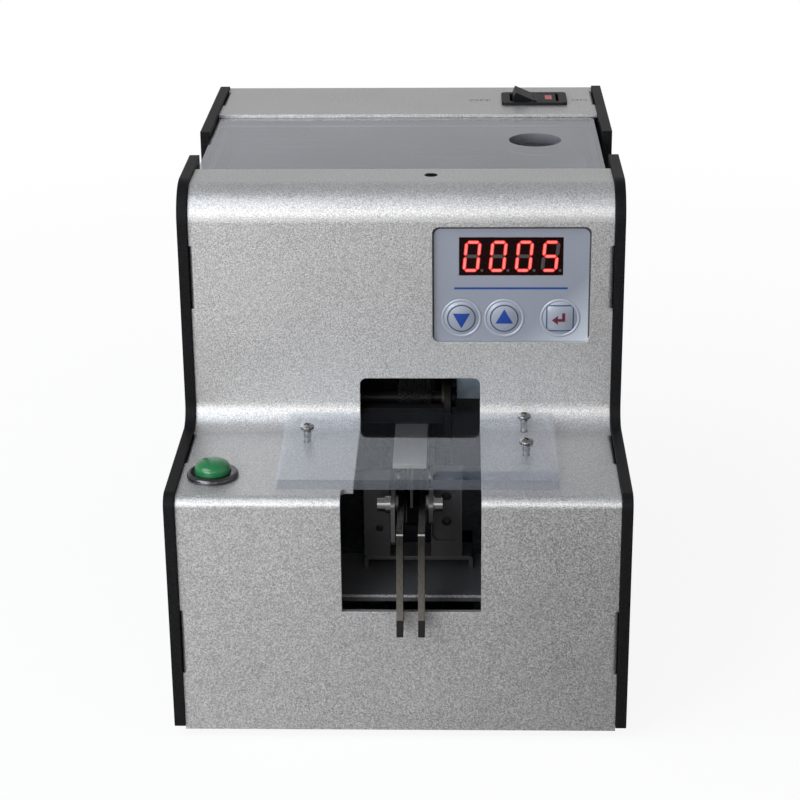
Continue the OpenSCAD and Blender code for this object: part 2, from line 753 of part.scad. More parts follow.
module counter_cutout() along_y(face_y - over, face_y + sheet_t + over)
  translate([counter_xm, counter_zm]) rounded_rect(counter_w, counter_h, counter_r);

module rear_cover() color([0.72, 0.72, 0.73]) seated() difference() {
  union() {
    along_x(-cover_x, cover_x) difference() {
      rear_section(0, -skirt_drop);
      rear_section(sheet_t, -skirt_drop - over);
    }
    for (s = [0, 1], t = rear_tabs) mirror([s, 0, 0]) side_tab(t);
  }
  for (s = [0, 1], t = rear_tabs) mirror([s, 0, 0]) tab_bend(t);
  translate([switch_x, switch_y, top_z])
    cube([switch_body_w + 2 * fit_gap, switch_body_d + 2 * fit_gap, 4 * sheet_t], center = true);
  rod_y(socket_x, rear_y - sheet_t - over, socket_z, socket_d + 2 * fit_gap, sheet_t + 2 * over);
}

// The loose lid lies a little to the left between the side panels
module lid() color([0.75, 0.78, 0.8, 0.5]) seated() difference() {
  translate([lid_xm, (lid_y0 + lid_y1) / 2, lid_z])
    linear_extrude(lid_t) rounded_rect(2 * lid_x, lid_y1 - lid_y0, 2);
  translate([finger_x, finger_y, lid_z - over]) cylinder(d = finger_d, h = lid_t + 2 * over);
}

// Frame of the clear plate: its front lower edge on the shelf, leaning back on the bend
module on_plate() translate([plate_x, plate_y, shelf_z]) rotate([plate_tilt, 0, 0]) children();

module shelf_plate() color([0.85, 0.88, 0.92, 0.45]) seated() on_plate() difference() {
  translate([0, plate_len / 2, 0]) linear_extrude(plate_t) rounded_rect(plate_w, plate_len, 0.6);
  for (p = plate_points) translate([p[0], p[1], -over])
    cylinder(d = small_screw_d + 2 * hole_gap, h = plate_t + 2 * over);
}

module plate_screws() color("silver") seated() on_plate() for (p = plate_points)
  translate([p[0], p[1], plate_t]) pan_screw(small_screw_d, plate_t + 2 * sheet_t + 2);

module cover_screw() color([0.1, 0.1, 0.1]) seated()
  translate([cover_screw_x, cover_screw_y, top_z]) rotate(20)
    csk_screw(small_screw_d, sheet_t + bracket_t + 1);

module counter_bracket() color([0.62, 0.66, 0.7]) seated() difference() {
  union() {
    y0 = housing_y + housing_deep;
    top = top_z - sheet_t;
    block([bracket_x, counter_x0 + counter_w + 2], [y0, y0 + bracket_t], [brush_z, top]);
    block([cover_screw_x - 6, counter_x0 + counter_w + 2], [y0, front_back_y - 1], [top - bracket_t, top]);
  }
  translate([cover_screw_x, cover_screw_y, top_z - 4 * sheet_t])
    cylinder(d = small_screw_d + fit_gap, h = 4 * sheet_t);
}

module counter_housing() color([0.12, 0.12, 0.13]) seated() difference() {
  w = counter_w + 2 * overlay_edge;
  h = counter_h + 2 * overlay_edge;
  along_y(housing_y, housing_y + housing_deep)
    translate([counter_xm, counter_zm]) rounded_rect(w, h, counter_r);
  along_y(housing_y - over, board_y + over) translate([counter_xm, counter_zm])
    rounded_rect(w - 4 * housing_wall, h - 4 * housing_wall, board_r);
  along_y(board_y, housing_y + housing_deep + over) translate([counter_xm, counter_zm])
    rounded_rect(w - 2 * housing_wall, h - 2 * housing_wall, board_r);
}

module counter_overlay() color([0.66, 0.68, 0.72]) seated() difference() {
  along_y(overlay_y, overlay_y + overlay_t) translate([counter_xm, counter_zm])
    rounded_rect(counter_w + 2 * overlay_edge, counter_h + 2 * overlay_edge, counter_r);
  block([display_x - fit_gap, display_x + display_w + fit_gap], [overlay_y - over, housing_y + over],
    [display_z - fit_gap, display_z + display_h + fit_gap]);
  for (x = [down_x, up_x, set_x])
    rod_y(x, overlay_y - over, key_z, key_d + 2 * press_gap, overlay_t + 2 * over);
}

module display_module() color([0.1, 0.02, 0.02]) seated()
  block([display_x, display_x + display_w], [overlay_y + 0.3, board_y], [display_z, display_z + display_h]);

module counter_board() color("darkgreen") seated() {
  w = counter_w + 2 * overlay_edge - 2 * housing_wall - 2 * fit_gap;
  h = counter_h + 2 * overlay_edge - 2 * housing_wall - 2 * fit_gap;
  along_y(board_y, board_y + board_t) translate([counter_xm, counter_zm]) rounded_rect(w, h, board_r);
  for (x = [down_x, up_x, set_x]) {
    block([x - 3, x + 3], [key_back + 1.4, board_y], [key_z - 3, key_z + 3]);
    rod_y(x, key_back + key_travel + 0.1, key_z, 3.4, 2);
  }
  block([counter_xm - 8, counter_xm + 8], [board_y + board_t, housing_y + housing_deep],
    [counter_zm - 8, counter_zm]);
}

module down_key() color([0.7, 0.74, 0.82]) seated() key(down_x);

module up_key() color([0.7, 0.74, 0.82]) seated() key(up_x);

module set_key() color([0.7, 0.74, 0.82]) seated() key(set_x);

module start_button_body() color([0.7, 0.7, 0.7]) seated() translate([button_x, button_y, shelf_z]) {
  difference() {
    union() {
      translate([0, 0, -button_deep]) cylinder(d = button_d, h = button_deep + over);
      rotate_extrude() difference() {
        square([button_flange_d / 2, button_flange_h]);
        translate([button_flange_d / 2, button_flange_h]) rotate(180) corner_cut(button_flange_r);
      }
    }
    translate([0, 0, -button_deep / 2]) cylinder(d = button_cap_d + 2 * press_gap, h = button_deep);
  }
  for (x = [-2.6, 2.6]) translate([x - 0.4, -1.4, -button_deep - 6]) cube([0.8, 2.8, 7]);
}

module start_button_cap() color([0.02, 0.55, 0.15]) seated() translate([button_x, button_y, shelf_z]) {
  bottom = -button_deep / 2 + button_travel + 1.5;
  translate([0, 0, bottom]) cylinder(d = button_cap_d, h = button_flange_h + cap_rise - bottom);
  translate([0, 0, button_flange_h + cap_rise]) button_dome(button_cap_d, cap_dome);
}

module start_button_nut() color("silver") seated() translate([button_x, button_y, shelf_z - sheet_t - 2.5])
  difference() {
    cylinder(d = button_d * 1.32, h = 2.5, $fn = 6);
    translate([0, 0, -over]) cylinder(d = button_d + fit_gap, h = 2.5 + 2 * over);
  }

module switch_housing() color([0.05, 0.05, 0.05]) seated() translate([switch_x, switch_y, top_z]) {
  difference() {
    union() {
      linear_extrude(switch_lip) rounded_rect(switch_w, switch_d, 1.5);
      translate([-switch_body_w / 2, -switch_body_d / 2, -14])
        cube([switch_body_w, switch_body_d, 14 + over]);
    }
    translate([-rocker_r - rocker_room, -rocker_half - press_gap, -9])
      cube([2 * (rocker_r + rocker_room), 2 * (rocker_half + press_gap), 20]);
    rod_y(0, -switch_body_d / 2 + 0.4, rocker_z - top_z, rocker_pin_d + 4 * run_gap, switch_body_d - 0.8);
  }
  for (x = [-5, 5]) translate([x - 0.4, -2.3, -21]) cube([0.8, 4.6, 8]);
}

module switch_rocker() color([0.08, 0.08, 0.08]) seated() translate([switch_x, switch_y, rocker_z])
  rotate([0, rocker_tilt, 0]) {
    along_y(-rocker_half, rocker_half) intersection() {
      circle(rocker_r);
      polygon([
        [-rocker_r, 2.3], [0, 0.8], [rocker_r, 2.3], [rocker_r, -1.5], [0.4 * rocker_r, -5.5],
        [-0.4 * rocker_r, -5.5], [-rocker_r, -1.5]
      ]);
    }
    rod_y(0, -rocker_half - rocker_pin_reach, 0, rocker_pin_d, 2 * (rocker_half + rocker_pin_reach));
  }

module hopper() color([0.6, 0.61, 0.62]) seated() difference() {
  union() {
    hopper_form(hopper_wall, hopper_top);
    block([-hopper_x, hopper_x], [hopper_y0, rear_front_y - lid_gap], [hopper_top - rim_t, hopper_top]);
  }
  hopper_form(0, hopper_top + over);
  block([rail_x - slot_half, rail_x + slot_half], [hopper_y0 - over, axle_y - trough_r / 2],
    [slot_z0, slot_z1]);
  rod_x(hopper_xl - 2 * hopper_wall, axle_y, axle_z, shaft_d + 1, hopper_xr - hopper_xl + 4 * hopper_wall);
}

module gate_plate() color([0.04, 0.04, 0.04]) seated() difference() {
  block([left_plate_x + fit_gap, right_plate_x - fit_gap], [hopper_y0 - gate_t, hopper_y0],
    [slot_z0 - 3, slot_z1 + 3]);
  block([rail_x - slot_half, rail_x + slot_half], [hopper_y0 - gate_t - over, hopper_y0 + over],
    [slot_z0 - 5, slot_z1]);
}

module scoop_wheel() color([0.25, 0.26, 0.28]) seated() translate([0, axle_y, axle_z]) difference() {
  union() {
    along_x(wheel_x0, wheel_x0 + 2) circle(wheel_r, $fn = 96);
    along_x(wheel_x0 + 1, wheel_x1) {
      difference() {
        circle(wheel_r, $fn = 96);
        circle(wheel_r - 1.6, $fn = 96);
        for (i = [0 : scoop_count - 1]) rotate(i * 360 / scoop_count)
          translate([wheel_r - 6, 0.4]) square([9, 9]);
      }
      for (i = [0 : scoop_count - 1]) rotate(i * 360 / scoop_count) scoop_outline();
    }
    rod_x(wheel_x0, 0, 0, shaft_d + 7, wheel_w);
  }
  rod_x(wheel_x0 - over, 0, 0, shaft_d + 2 * run_gap, wheel_w + 2 * over);
}

module wheel_shaft() color("silver") seated() headed_shaft(axle_y, axle_z, shaft_d);

module wheel_bushes() color("goldenrod") seated() {
  bush(left_plate_x, -1, axle_y, axle_z, shaft_d);
  bush(right_plate_x, 1, axle_y, axle_z, shaft_d);
}

module wheel_gear() color([0.85, 0.85, 0.8]) seated()
  gear(wheel_teeth, 0, axle_y, axle_z, shaft_d, shaft_d + 7, 2);

module left_bearing_plate() color([0.1, 0.1, 0.11]) seated() bearing_plate(left_plate_x, -1);

module right_bearing_plate() color([0.1, 0.1, 0.11]) seated() bearing_plate(right_plate_x, 1);

module motor_plate() color("silver") seated() difference() {
  union() {
    along_x(motor_plate_x - bearing_t, motor_plate_x) difference() {
      translate([pinion_y - 15, floor_z]) square([30, pinion_z + 15 - floor_z]);
      for (s = [0, 1]) translate([pinion_y, pinion_z + 15]) mirror([s, 0])
        translate([-15, 0]) mirror([0, 1]) corner_cut(8);
    }
    block([motor_plate_x - 12, motor_plate_x], [pinion_y - 15, pinion_y + 15],
      [floor_z, floor_z + bearing_t]);
  }
  rod_x(motor_plate_x - bearing_t - over, pinion_y, pinion_z, motor_shaft_d + 4, bearing_t + 2 * over);
}

// Gearbox against the motor plate, motor behind it and its end boss, up to the left panel
module gear_motor() color([0.55, 0.55, 0.56]) seated() difference() {
  boss = 1.5;
  union() {
    rod_x(motor_x1 - gearbox_len, pinion_y, pinion_z, motor_d, gearbox_len);
    rod_x(motor_x0 + boss, pinion_y, pinion_z, motor_d - 5, motor_x1 - motor_x0 - boss - gearbox_len / 2);
    rod_x(motor_x0, pinion_y, pinion_z, 6, 2 * boss);
  }
  rod_x(motor_x1 - 5, pinion_y, pinion_z, motor_shaft_d + 2 * run_gap, 5 + over);
}

module motor_shaft() color("silver") seated()
  rod_x(motor_plate_x - bearing_t - 4.5, pinion_y, pinion_z, motor_shaft_d, 6.5 + bearing_t + gear_w);

module motor_pinion() color("goldenrod") seated()
  gear(pinion_teeth, mesh_turn(pinion_dir, pinion_teeth), pinion_y, pinion_z, motor_shaft_d,
    motor_shaft_d + 5, 1.5);

module brush_roll() color([0.03, 0.03, 0.03]) seated() difference() {
  rod_x(rail_x - brush_w / 2, brush_y, brush_z, 2 * brush_r, brush_w);
  rod_x(rail_x - brush_w, brush_y, brush_z, brush_shaft_d + 2 * run_gap, 2 * brush_w);
}

module brush_shaft() color("silver") seated() headed_shaft(brush_y, brush_z, brush_shaft_d);

module brush_bushes() color("goldenrod") seated() {
  bush(left_plate_x, -1, brush_y, brush_z, brush_shaft_d);
  bush(right_plate_x, 1, brush_y, brush_z, brush_shaft_d);
}

module brush_gear() color([0.85, 0.85, 0.8]) seated()
  gear(brush_teeth, mesh_turn(brush_dir, brush_teeth), brush_y, brush_z, brush_shaft_d, brush_shaft_d + 6, 2);

module left_rail() color([0.5, 0.5, 0.48]) seated() rail_plate(-1);

module right_rail() color([0.5, 0.5, 0.48]) seated() rail_plate(1);

module rail_tips() color([0.06, 0.06, 0.06]) seated() for (s = [0, 1])
  translate([rail_x, 0, 0]) mirror([s, 0, 0]) difference() {
    along_x(rail_gap / 2, rail_gap / 2 + rail_t) intersection() {
      rail_outline();
      translate([-horn_reach - over, tip_z - over]) square([horn_w + 4 * over, tip_h + over]);
    }
    pocket = rail_gap / 2 + (rail_t - tongue_t) / 2 - run_gap;
    along_x(pocket, pocket + tongue_t + 2 * run_gap) horn_tongue(run_gap);
  }

module clamp_cheeks() color([0.62, 0.62, 0.6]) seated() for (s = [0, 1])
  translate([rail_x, 0, 0]) mirror([s, 0, 0]) difference() {
    union() {
      along_x(rail_half + cheek_gap, rail_half + cheek_gap + cheek_t)
        translate([clamp_y - 1.5, rail_z + cheek_rise - cheek_h[s] / 2]) rounded_rect(12, cheek_h[s], 1.5);
      rod_x(rail_half, clamp_y, clamp_z, clamp_d + 3, cheek_gap + over / 2);
    }
    rod_x(0, clamp_y, clamp_z, clamp_d + 2 * run_gap, rail_half + 10);
  }

module rail_screws() color("silver") seated() for (s = [0, 1])
    translate([rail_x, 0, 0]) mirror([1 - s, 0, 0]) {
  head_x = rail_half + cheek_gap + cheek_t;
  rod_x(rail_gap / 2 + 0.1, clamp_y, clamp_z, clamp_d, head_x + washer_stack[s] - rail_gap / 2);
  rod_x(head_x, clamp_y, clamp_z, clamp_d + 3, washer_stack[s]);
  rod_x(head_x + washer_stack[s], clamp_y, clamp_z, clamp_d + 1.8, clamp_d);
  for (y = [foot_y0 + 6, foot_y1 - 6]) {
    rod_x(rail_gap / 2 - 1.5, y, foot_screw_z, foot_screw_d, rail_t + 2);
    rod_x(rail_half, y, foot_screw_z, foot_screw_d + 1.8, 1.8);
  }
}

module rail_carrier() color([0.07, 0.07, 0.07]) seated() difference() {
  union() {
    block([rail_x - carrier_half, rail_x + carrier_half], [carrier_y0, carrier_y1], [carrier_z, foot_z]);
    block([rail_x - rail_gap / 2, rail_x + rail_gap / 2], [foot_y0, foot_y1],
      [foot_z - over, foot_z + rib_h]);
  }
  for (y = [foot_y0 + 6, foot_y1 - 6])
    rod_x(rail_x - carrier_half, y, foot_screw_z, foot_screw_d + 2 * run_gap, 2 * carrier_half);
}

module leaf_springs() color([0.45, 0.46, 0.5]) seated() for (y = [carrier_y0 - leaf_t, carrier_y1])
  block([rail_x - carrier_half, rail_x + carrier_half], [y, y + leaf_t], [block_z + 4, foot_z]);

module at_mounts(z) for (x = [-1, 1], y = [carrier_y0 + 6, carrier_y1 - 6])
  translate([rail_x + x * (block_half - 4.5), y, z]) children();

module vibrator_base() color([0.07, 0.07, 0.07]) seated() difference() {
  block([rail_x - block_half, rail_x + block_half], [carrier_y0, carrier_y1], [block_z, block_z + block_h]);
  at_mounts(block_z - over) cylinder(d = stud_d, h = stud_deep + over);
}

module vibrator_mounts() color([0.05, 0.05, 0.05]) seated() at_mounts(floor_z) {
  cylinder(d = 7, h = mount_h);
  cylinder(d = stud_d - 2 * fit_gap, h = mount_h + stud_deep - hole_gap);
}

module magnet_coil() color([0.55, 0.25, 0.1]) seated() {
  rod_y(rail_x, coil_y0, core_z, 11.6, coil_len);
  rod_y(rail_x, coil_y0 - 1.2, core_z, 5, coil_len + 2.4);
  block([rail_x - 5, rail_x + 5], [coil_y0 + 1, coil_y0 + coil_len - 1], [block_z + block_h, core_z]);
}

module magnet_armature() color([0.5, 0.5, 0.5]) seated()
  block([rail_x - 5, rail_x + 5], [coil_y0 + coil_len + 2.2, coil_y0 + coil_len + 5.2],
    [core_z - 5, carrier_z]);

module sensor_deck() color([0.05, 0.05, 0.06]) seated() {
  block([deck_x0, deck_x1], [deck_y0, deck_y1], [deck_z - deck_t, deck_z]);
  for (x = [deck_x0, deck_x1 - deck_t])
    block([x, x + deck_t], [deck_y0, deck_y1], [floor_z, deck_z - deck_t / 2]);
  block([deck_x0 - 8, deck_x0 + deck_t / 2], [deck_y0 + 3, deck_y1 - 3], [floor_z, floor_z + deck_t]);
  block([deck_x1 - deck_t / 2, deck_x1 + 8], [deck_y0 + 3, deck_y1 - 3], [floor_z, floor_z + deck_t]);
}

module sensor_bracket() color([0.06, 0.06, 0.06]) seated()
  along_y(sensor_y, sensor_y + sensor_deep + 0.6) difference() {
    width = channel_x1 - channel_x0;
    translate([channel_x0, deck_z]) square([width, channel_h]);
    translate([channel_x0 + channel_t, deck_z - over])
      square([width - 2 * channel_t, channel_h - channel_t + over]);
    translate([channel_x0, deck_z + channel_h]) mirror([0, 1]) corner_cut(channel_t);
    translate([channel_x1, deck_z + channel_h]) rotate(180) corner_cut(channel_t);
  }

module count_sensors() color([0.07, 0.07, 0.08]) seated() {
  left_x = [rail_x - 14.3, rail_x - 6.7];
  right_x = [rail_x + 5.3, rail_x + 14.4];
  back = sensor_y + sensor_deep;
  difference() {
    block(left_x, [sensor_y, back], [sensor_z, rail_z + 2]);
    rod_y(left_x[1] - 3, sensor_y - over, sensor_z + 9, 2.2, 4);
    rod_x(left_x[1] - 3, sensor_y + 4.5, rail_z - 1, 2.4, 4);
  }
  difference() {
    block(right_x, [sensor_y, back], [sensor_z, rail_z + 4]);
    along_y(sensor_y - over, sensor_y + 1) translate([(right_x[0] + right_x[1]) / 2 - 0.2, sensor_z + 13.5])
      rounded_rect(7.9, 17, 2);
    for (z = [10.7, 18.7]) rod_y((right_x[0] + right_x[1]) / 2, sensor_y - over, sensor_z + z, 2.8, 5);
    rod_x(right_x[0] - 1, sensor_y + 4.5, rail_z - 1, 2.4, 4);
  }
}

module at_strip_screws(z) for (x = strip_screw_x) translate([x, bar_y + bar_w / 2, z]) children();

// Bar between the bearing plates, with the two screws that hold the strip under it
module strip_bar() color([0.05, 0.05, 0.05]) seated() {
  bar_z = strip_z + strip_t;
  difference() {
    block([left_plate_x + fit_gap, right_plate_x - fit_gap], [bar_y, bar_y + bar_w], [bar_z, bar_z + bar_h]);
    at_strip_screws(strip_z) cylinder(d = strip_screw_d + fit_gap, h = strip_t + bar_h - over);
  }
  at_strip_screws(strip_z) mirror([0, 0, 1]) pan_screw(strip_screw_d, strip_t + bar_h - 2 * over);
}

module hold_down_strip() color([0.72, 0.71, 0.68]) seated() {
  difference() {
    block([strip_x - strip_w / 2, strip_x + strip_w / 2], [strip_y0, bar_y + bar_w],
      [strip_z, strip_z + strip_t]);
    at_strip_screws(strip_z - over) cylinder(d = strip_screw_d + 2 * hole_gap, h = strip_t + 2 * over);
  }
  along_x(rail_x - 0.4, rail_x + 0.4) polygon([
    [strip_y0 + 6, strip_z], [strip_y0 + 6, strip_z - 0.5], [strip_y0 - 9.5, strip_z - 0.5],
    [strip_y0 - 11, rail_z + 0.3], [strip_y0 - 11.6, rail_z + 0.3], [strip_y0 - 10, strip_z]
  ]);
}

module control_board() color("darkgreen") seated() {
  x0 = circuit_x[0];
  x1 = circuit_x[1];
  y0 = circuit_y[0];
  top = circuit_z + board_t / 2;
  block(circuit_x, circuit_y, [circuit_z, circuit_z + board_t]);
  for (x = [x0 + 4, x1 - 4], y = [y0 + 4, circuit_y[1] - 4])
    translate([x, y, floor_z]) cylinder(d = 6, h = circuit_z + board_t / 2 - floor_z);
  block([x0 + 6, x0 + 24], [y0 + 12, y0 + 28], [top, top + 14]);
  block([x1 - 9, x1 - 1], [y0 + 34, y0 + 64], [top, top + 10]);
  for (y = [40, 53]) translate([x0 + 10, y0 + y, top]) cylinder(d = 10, h = 15);
}

module power_socket() color([0.08, 0.08, 0.08]) seated() {
  difference() {
    union() {
      rod_y(socket_x, rear_y - sheet_t - 12, socket_z, socket_ring_d, 12);
      rod_y(socket_x, rear_y - sheet_t - over, socket_z, socket_d, sheet_t + over + socket_ring_t / 2);
      rod_y(socket_x, rear_y, socket_z, socket_ring_d, socket_ring_t);
    }
    rod_y(socket_x, rear_y - 9, socket_z, socket_d - 2.4, 9 + socket_ring_t + over);
  }
  rod_y(socket_x, rear_y - 9.5, socket_z, 2, 9);
}

base_plate();
rubber_feet();
foot_screws();
left_side_panel();
right_side_panel();
panel_screws_left();
panel_screws_right();
front_cover();
rear_cover();
lid();
shelf_plate();
plate_screws();
cover_screw();
counter_bracket();
counter_housing();
counter_overlay();
display_module();
counter_board();
down_key();
up_key();
set_key();
start_button_body();
start_button_cap();
start_button_nut();
switch_housing();
switch_rocker();
hopper();
gate_plate();
scoop_wheel();
wheel_shaft();
wheel_bushes();
wheel_gear();
left_bearing_plate();
right_bearing_plate();
motor_plate();
gear_motor();
motor_shaft();
motor_pinion();
brush_roll();
brush_shaft();
brush_bushes();
brush_gear();
left_rail();
right_rail();
rail_tips();
clamp_cheeks();
rail_screws();
rail_carrier();
leaf_springs();
vibrator_base();
vibrator_mounts();
magnet_coil();
magnet_armature();
sensor_deck();
sensor_bracket();
count_sensors();
strip_bar();
hold_down_strip();
control_board();
power_socket();
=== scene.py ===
import json
import math
import random

import bmesh
import bpy
from mathutils import Matrix, Vector


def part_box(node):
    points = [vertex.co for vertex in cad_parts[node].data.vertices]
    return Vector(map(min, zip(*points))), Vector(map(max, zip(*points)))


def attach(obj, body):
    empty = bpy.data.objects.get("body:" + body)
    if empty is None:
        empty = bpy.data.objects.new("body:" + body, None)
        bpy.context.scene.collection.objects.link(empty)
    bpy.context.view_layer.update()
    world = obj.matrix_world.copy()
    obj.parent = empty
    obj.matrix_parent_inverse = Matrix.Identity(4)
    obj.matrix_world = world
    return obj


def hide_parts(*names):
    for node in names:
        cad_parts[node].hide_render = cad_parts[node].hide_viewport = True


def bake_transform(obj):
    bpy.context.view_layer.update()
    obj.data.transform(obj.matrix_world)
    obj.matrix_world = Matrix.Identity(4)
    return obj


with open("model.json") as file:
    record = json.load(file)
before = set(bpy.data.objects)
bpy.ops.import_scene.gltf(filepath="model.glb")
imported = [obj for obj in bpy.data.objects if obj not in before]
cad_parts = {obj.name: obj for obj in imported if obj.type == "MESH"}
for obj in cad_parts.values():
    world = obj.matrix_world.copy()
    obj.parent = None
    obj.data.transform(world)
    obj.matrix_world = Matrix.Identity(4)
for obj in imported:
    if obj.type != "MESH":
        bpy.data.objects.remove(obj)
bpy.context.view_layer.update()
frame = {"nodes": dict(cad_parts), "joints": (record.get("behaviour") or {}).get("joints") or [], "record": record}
mm = 0.001
print("frame loaded,", len(frame["nodes"]), "nodes")


# shader sockets with Python maths

class Wire:
    def __init__(self, tree, socket):
        self.tree = tree
        self.socket = socket

    def add(self, kind, settings=None, inputs=None, output=0):
        node = self.tree.nodes.new(kind)
        for name, value in (settings or {}).items():
            setattr(node, name, value)
        for key, value in (inputs or {}).items():
            if isinstance(value, Wire):
                self.tree.links.new(value.socket, node.inputs[key])
            else:
                node.inputs[key].default_value = value
        return Wire(self.tree, node.outputs[output])

    def maths(self, operation, *values):
        return self.add("ShaderNodeMath", {"operation": operation}, dict(enumerate(values)))

    def __add__(self, other):
        return self.maths("ADD", self, other)

    def __radd__(self, other):
        return self.maths("ADD", other, self)

    def __sub__(self, other):
        return self.maths("SUBTRACT", self, other)

    def __rsub__(self, other):
        return self.maths("SUBTRACT", other, self)

    def __mul__(self, other):
        return self.maths("MULTIPLY", self, other)

    def __rmul__(self, other):
        return self.maths("MULTIPLY", other, self)

    def __gt__(self, other):
        return self.maths("GREATER_THAN", self, other)

    def __lt__(self, other):
        return self.maths("LESS_THAN", self, other)


def grain(place, size, detail=2.0, stretch=None):    # size of a grain in mm, stretch per axis
    vector = place
    if stretch:
        vector = place.add("ShaderNodeVectorMath", {"operation": "MULTIPLY"}, {0: place, 1: stretch})
    return place.add("ShaderNodeTexNoise", {}, {"Vector": vector, "Scale": 1 / (size * mm), "Detail": detail})


def spread(wire, low, high):    # 0 at low, 1 at high
    return wire.add("ShaderNodeMapRange", {}, {"Value": wire, "From Min": low, "From Max": high})


def between(wire, low, high):    # 1 from low to high, 0 elsewhere
    return (wire > low) * (wire < high)


def axis(place, name):
    return place.add("ShaderNodeSeparateXYZ", {}, {0: place}, name)


def blendColour(factor, first, second):
    def four(value):
        return value if isinstance(value, Wire) else (*value, 1)
    return factor.add("ShaderNodeMix", {"data_type": "RGBA"}, {0: factor, 6: four(first), 7: four(second)}, 2)


def newTree(name):
    material = bpy.data.materials.new(name)
    material.use_nodes = True
    tree = material.node_tree
    tree.nodes.clear()
    place = Wire(tree, tree.nodes.new("ShaderNodeTexCoord").outputs["Object"])
    return material, tree, place


def showShader(tree, wire):
    output = tree.nodes.new("ShaderNodeOutputMaterial")
    tree.links.new(wire.socket, output.inputs["Surface"])


def metalOrPlastic(name, look, paint=None):
    # look: dark and light colour, grain in mm, rough from and to, bump in mm, edge radius in mm
    material, tree, place = newTree(name)
    fine = grain(place, look["grain"], look.get("detail", 2.0), look.get("stretch"))
    wide = grain(place, look.get("patch", 25), 3.0)
    wideShare = look.get("patchShare", 0.2)
    soft = look.get("soft", 0.2)
    mix = spread(fine * (1 - wideShare) + wide * wideShare, 0.5 - soft, 0.5 + soft)
    colour = blendColour(mix, look["dark"], look["light"])
    rough = look["rough"][0] + mix * (look["rough"][1] - look["rough"][0])
    # scuffs and glints: streaks mixed into the colour; on the blasted aluminium they are painted glints, sparse
    # bright specks
    if "scuffsAndGlints" in look:
        scuffsAndGlints = look["scuffsAndGlints"]
        streak = grain(place, scuffsAndGlints["size"], 4.0, scuffsAndGlints["stretch"])
        mark = spread(streak, scuffsAndGlints["from"], scuffsAndGlints["to"])
        colour = blendColour(mark, colour, scuffsAndGlints["colour"])
    if paint:
        colour = paint(place, colour)
    normal = place.add("ShaderNodeBevel", {"samples": 4}, {"Radius": look.get("edge", 0.15) * mm})
    bump = place.add("ShaderNodeBump", {}, {
        "Strength": look.get("bumpShare", 0.6), "Distance": look["bump"] * mm, "Height": fine,
        "Normal": normal})
    fixed = {"Metallic": look.get("metal", 0.0), "Coat Weight": look.get("coat", 0.0),
             "Coat Roughness": look.get("coatRough", 0.1), "Specular IOR Level": look.get("shine", 0.5)}
    shader = place.add("ShaderNodeBsdfPrincipled", {}, {
        **fixed, "Base Color": colour, "Roughness": rough, "Normal": bump})
    showShader(tree, shader)
    return material


# clear plastic: a face whose normal leaves the upright is an edge, and edges are frosted
clearPlastic = {
    "edge": (0.6, 0.3), "edgeGrain": (0.8, 0.4), "rimGain": 1.8,
    "film": {"even": 0.7, "scratched": 0.35, "clouded": 0.25},
    "milk": {"cloud": (0.35, 0.65), "cloudShare": 0.4, "litSideShare": 0.6, "rough": (0.25, 0.2)}}


def clearSheet(name, look, low, high):
    # lets light straight through, mirrors at a slant, and has a haze of fine scratches
    material, tree, place = newTree(name)
    clear = place.add("ShaderNodeBsdfTransparent", {}, {"Color": (*look["tint"], 1)})
    mirror = place.add("ShaderNodeBsdfAnisotropic", {}, {
        "Color": (*look["gleam"], 1), "Roughness": look["polish"]})
    inside = place.add("ShaderNodeNewGeometry", {}, {}, "Backfacing")
    upward = axis(place.add("ShaderNodeNewGeometry", {}, {}, "True Normal"), "Z")
    edge = spread(upward.maths("ABSOLUTE", upward), *clearPlastic["edge"])
    slant = place.add("ShaderNodeFresnel", {}, {"IOR": look["ior"]})
    gloss = (1 - inside) * (slant * look["bothFaces"])
    glass = place.add("ShaderNodeMixShader", {}, {0: gloss, 1: clear, 2: mirror})
    fine = grain(place, look["grain"], 4.0, look.get("stretch"))
    cloud = grain(place, look["patch"], 2.0)
    share = clearPlastic["film"]
    film = share["even"] + share["scratched"] * fine + share["clouded"] * cloud
    film = (1 - inside) * (look["haze"] * film)
    height = axis(place, "Z")
    fade = look["fade"] + (1 - look["fade"]) * spread(height, low.z, high.z)
    rim = height < low.z + look["rim"] * mm    # an edge seen from inside the sheet shows only its lower rim
    frost = edge * ((1 - inside) * fade + inside * rim * clearPlastic["rimGain"]) * look["frost"]
    even, speckled = clearPlastic["edgeGrain"]
    haze = film + frost * (even + speckled * fine)
    body = clearPlastic["milk"]
    # painted light: the milky body is paler towards the window's side, at low X
    litSide = spread(axis(place, "X"), high.x, low.x)
    pale = body["cloudShare"] * spread(cloud, *body["cloud"]) + body["litSideShare"] * litSide
    milk = place.add("ShaderNodeBsdfPrincipled", {}, {
        "Base Color": blendColour(pale, look["milkDark"], look["milk"]),
        "Roughness": body["rough"][0] + body["rough"][1] * fine})
    showShader(tree, place.add("ShaderNodeMixShader", {}, {0: haze, 1: glass, 2: milk}))
    return material


# camera, fitted to the outlines of the side panels

shot = {
    "place": (16.9, -624.05, 315.8), "pitch": 21.53, "yaw": -1.71, "roll": -0.56, "lens": 95.48,
    "sensor": 36, "near": 10}


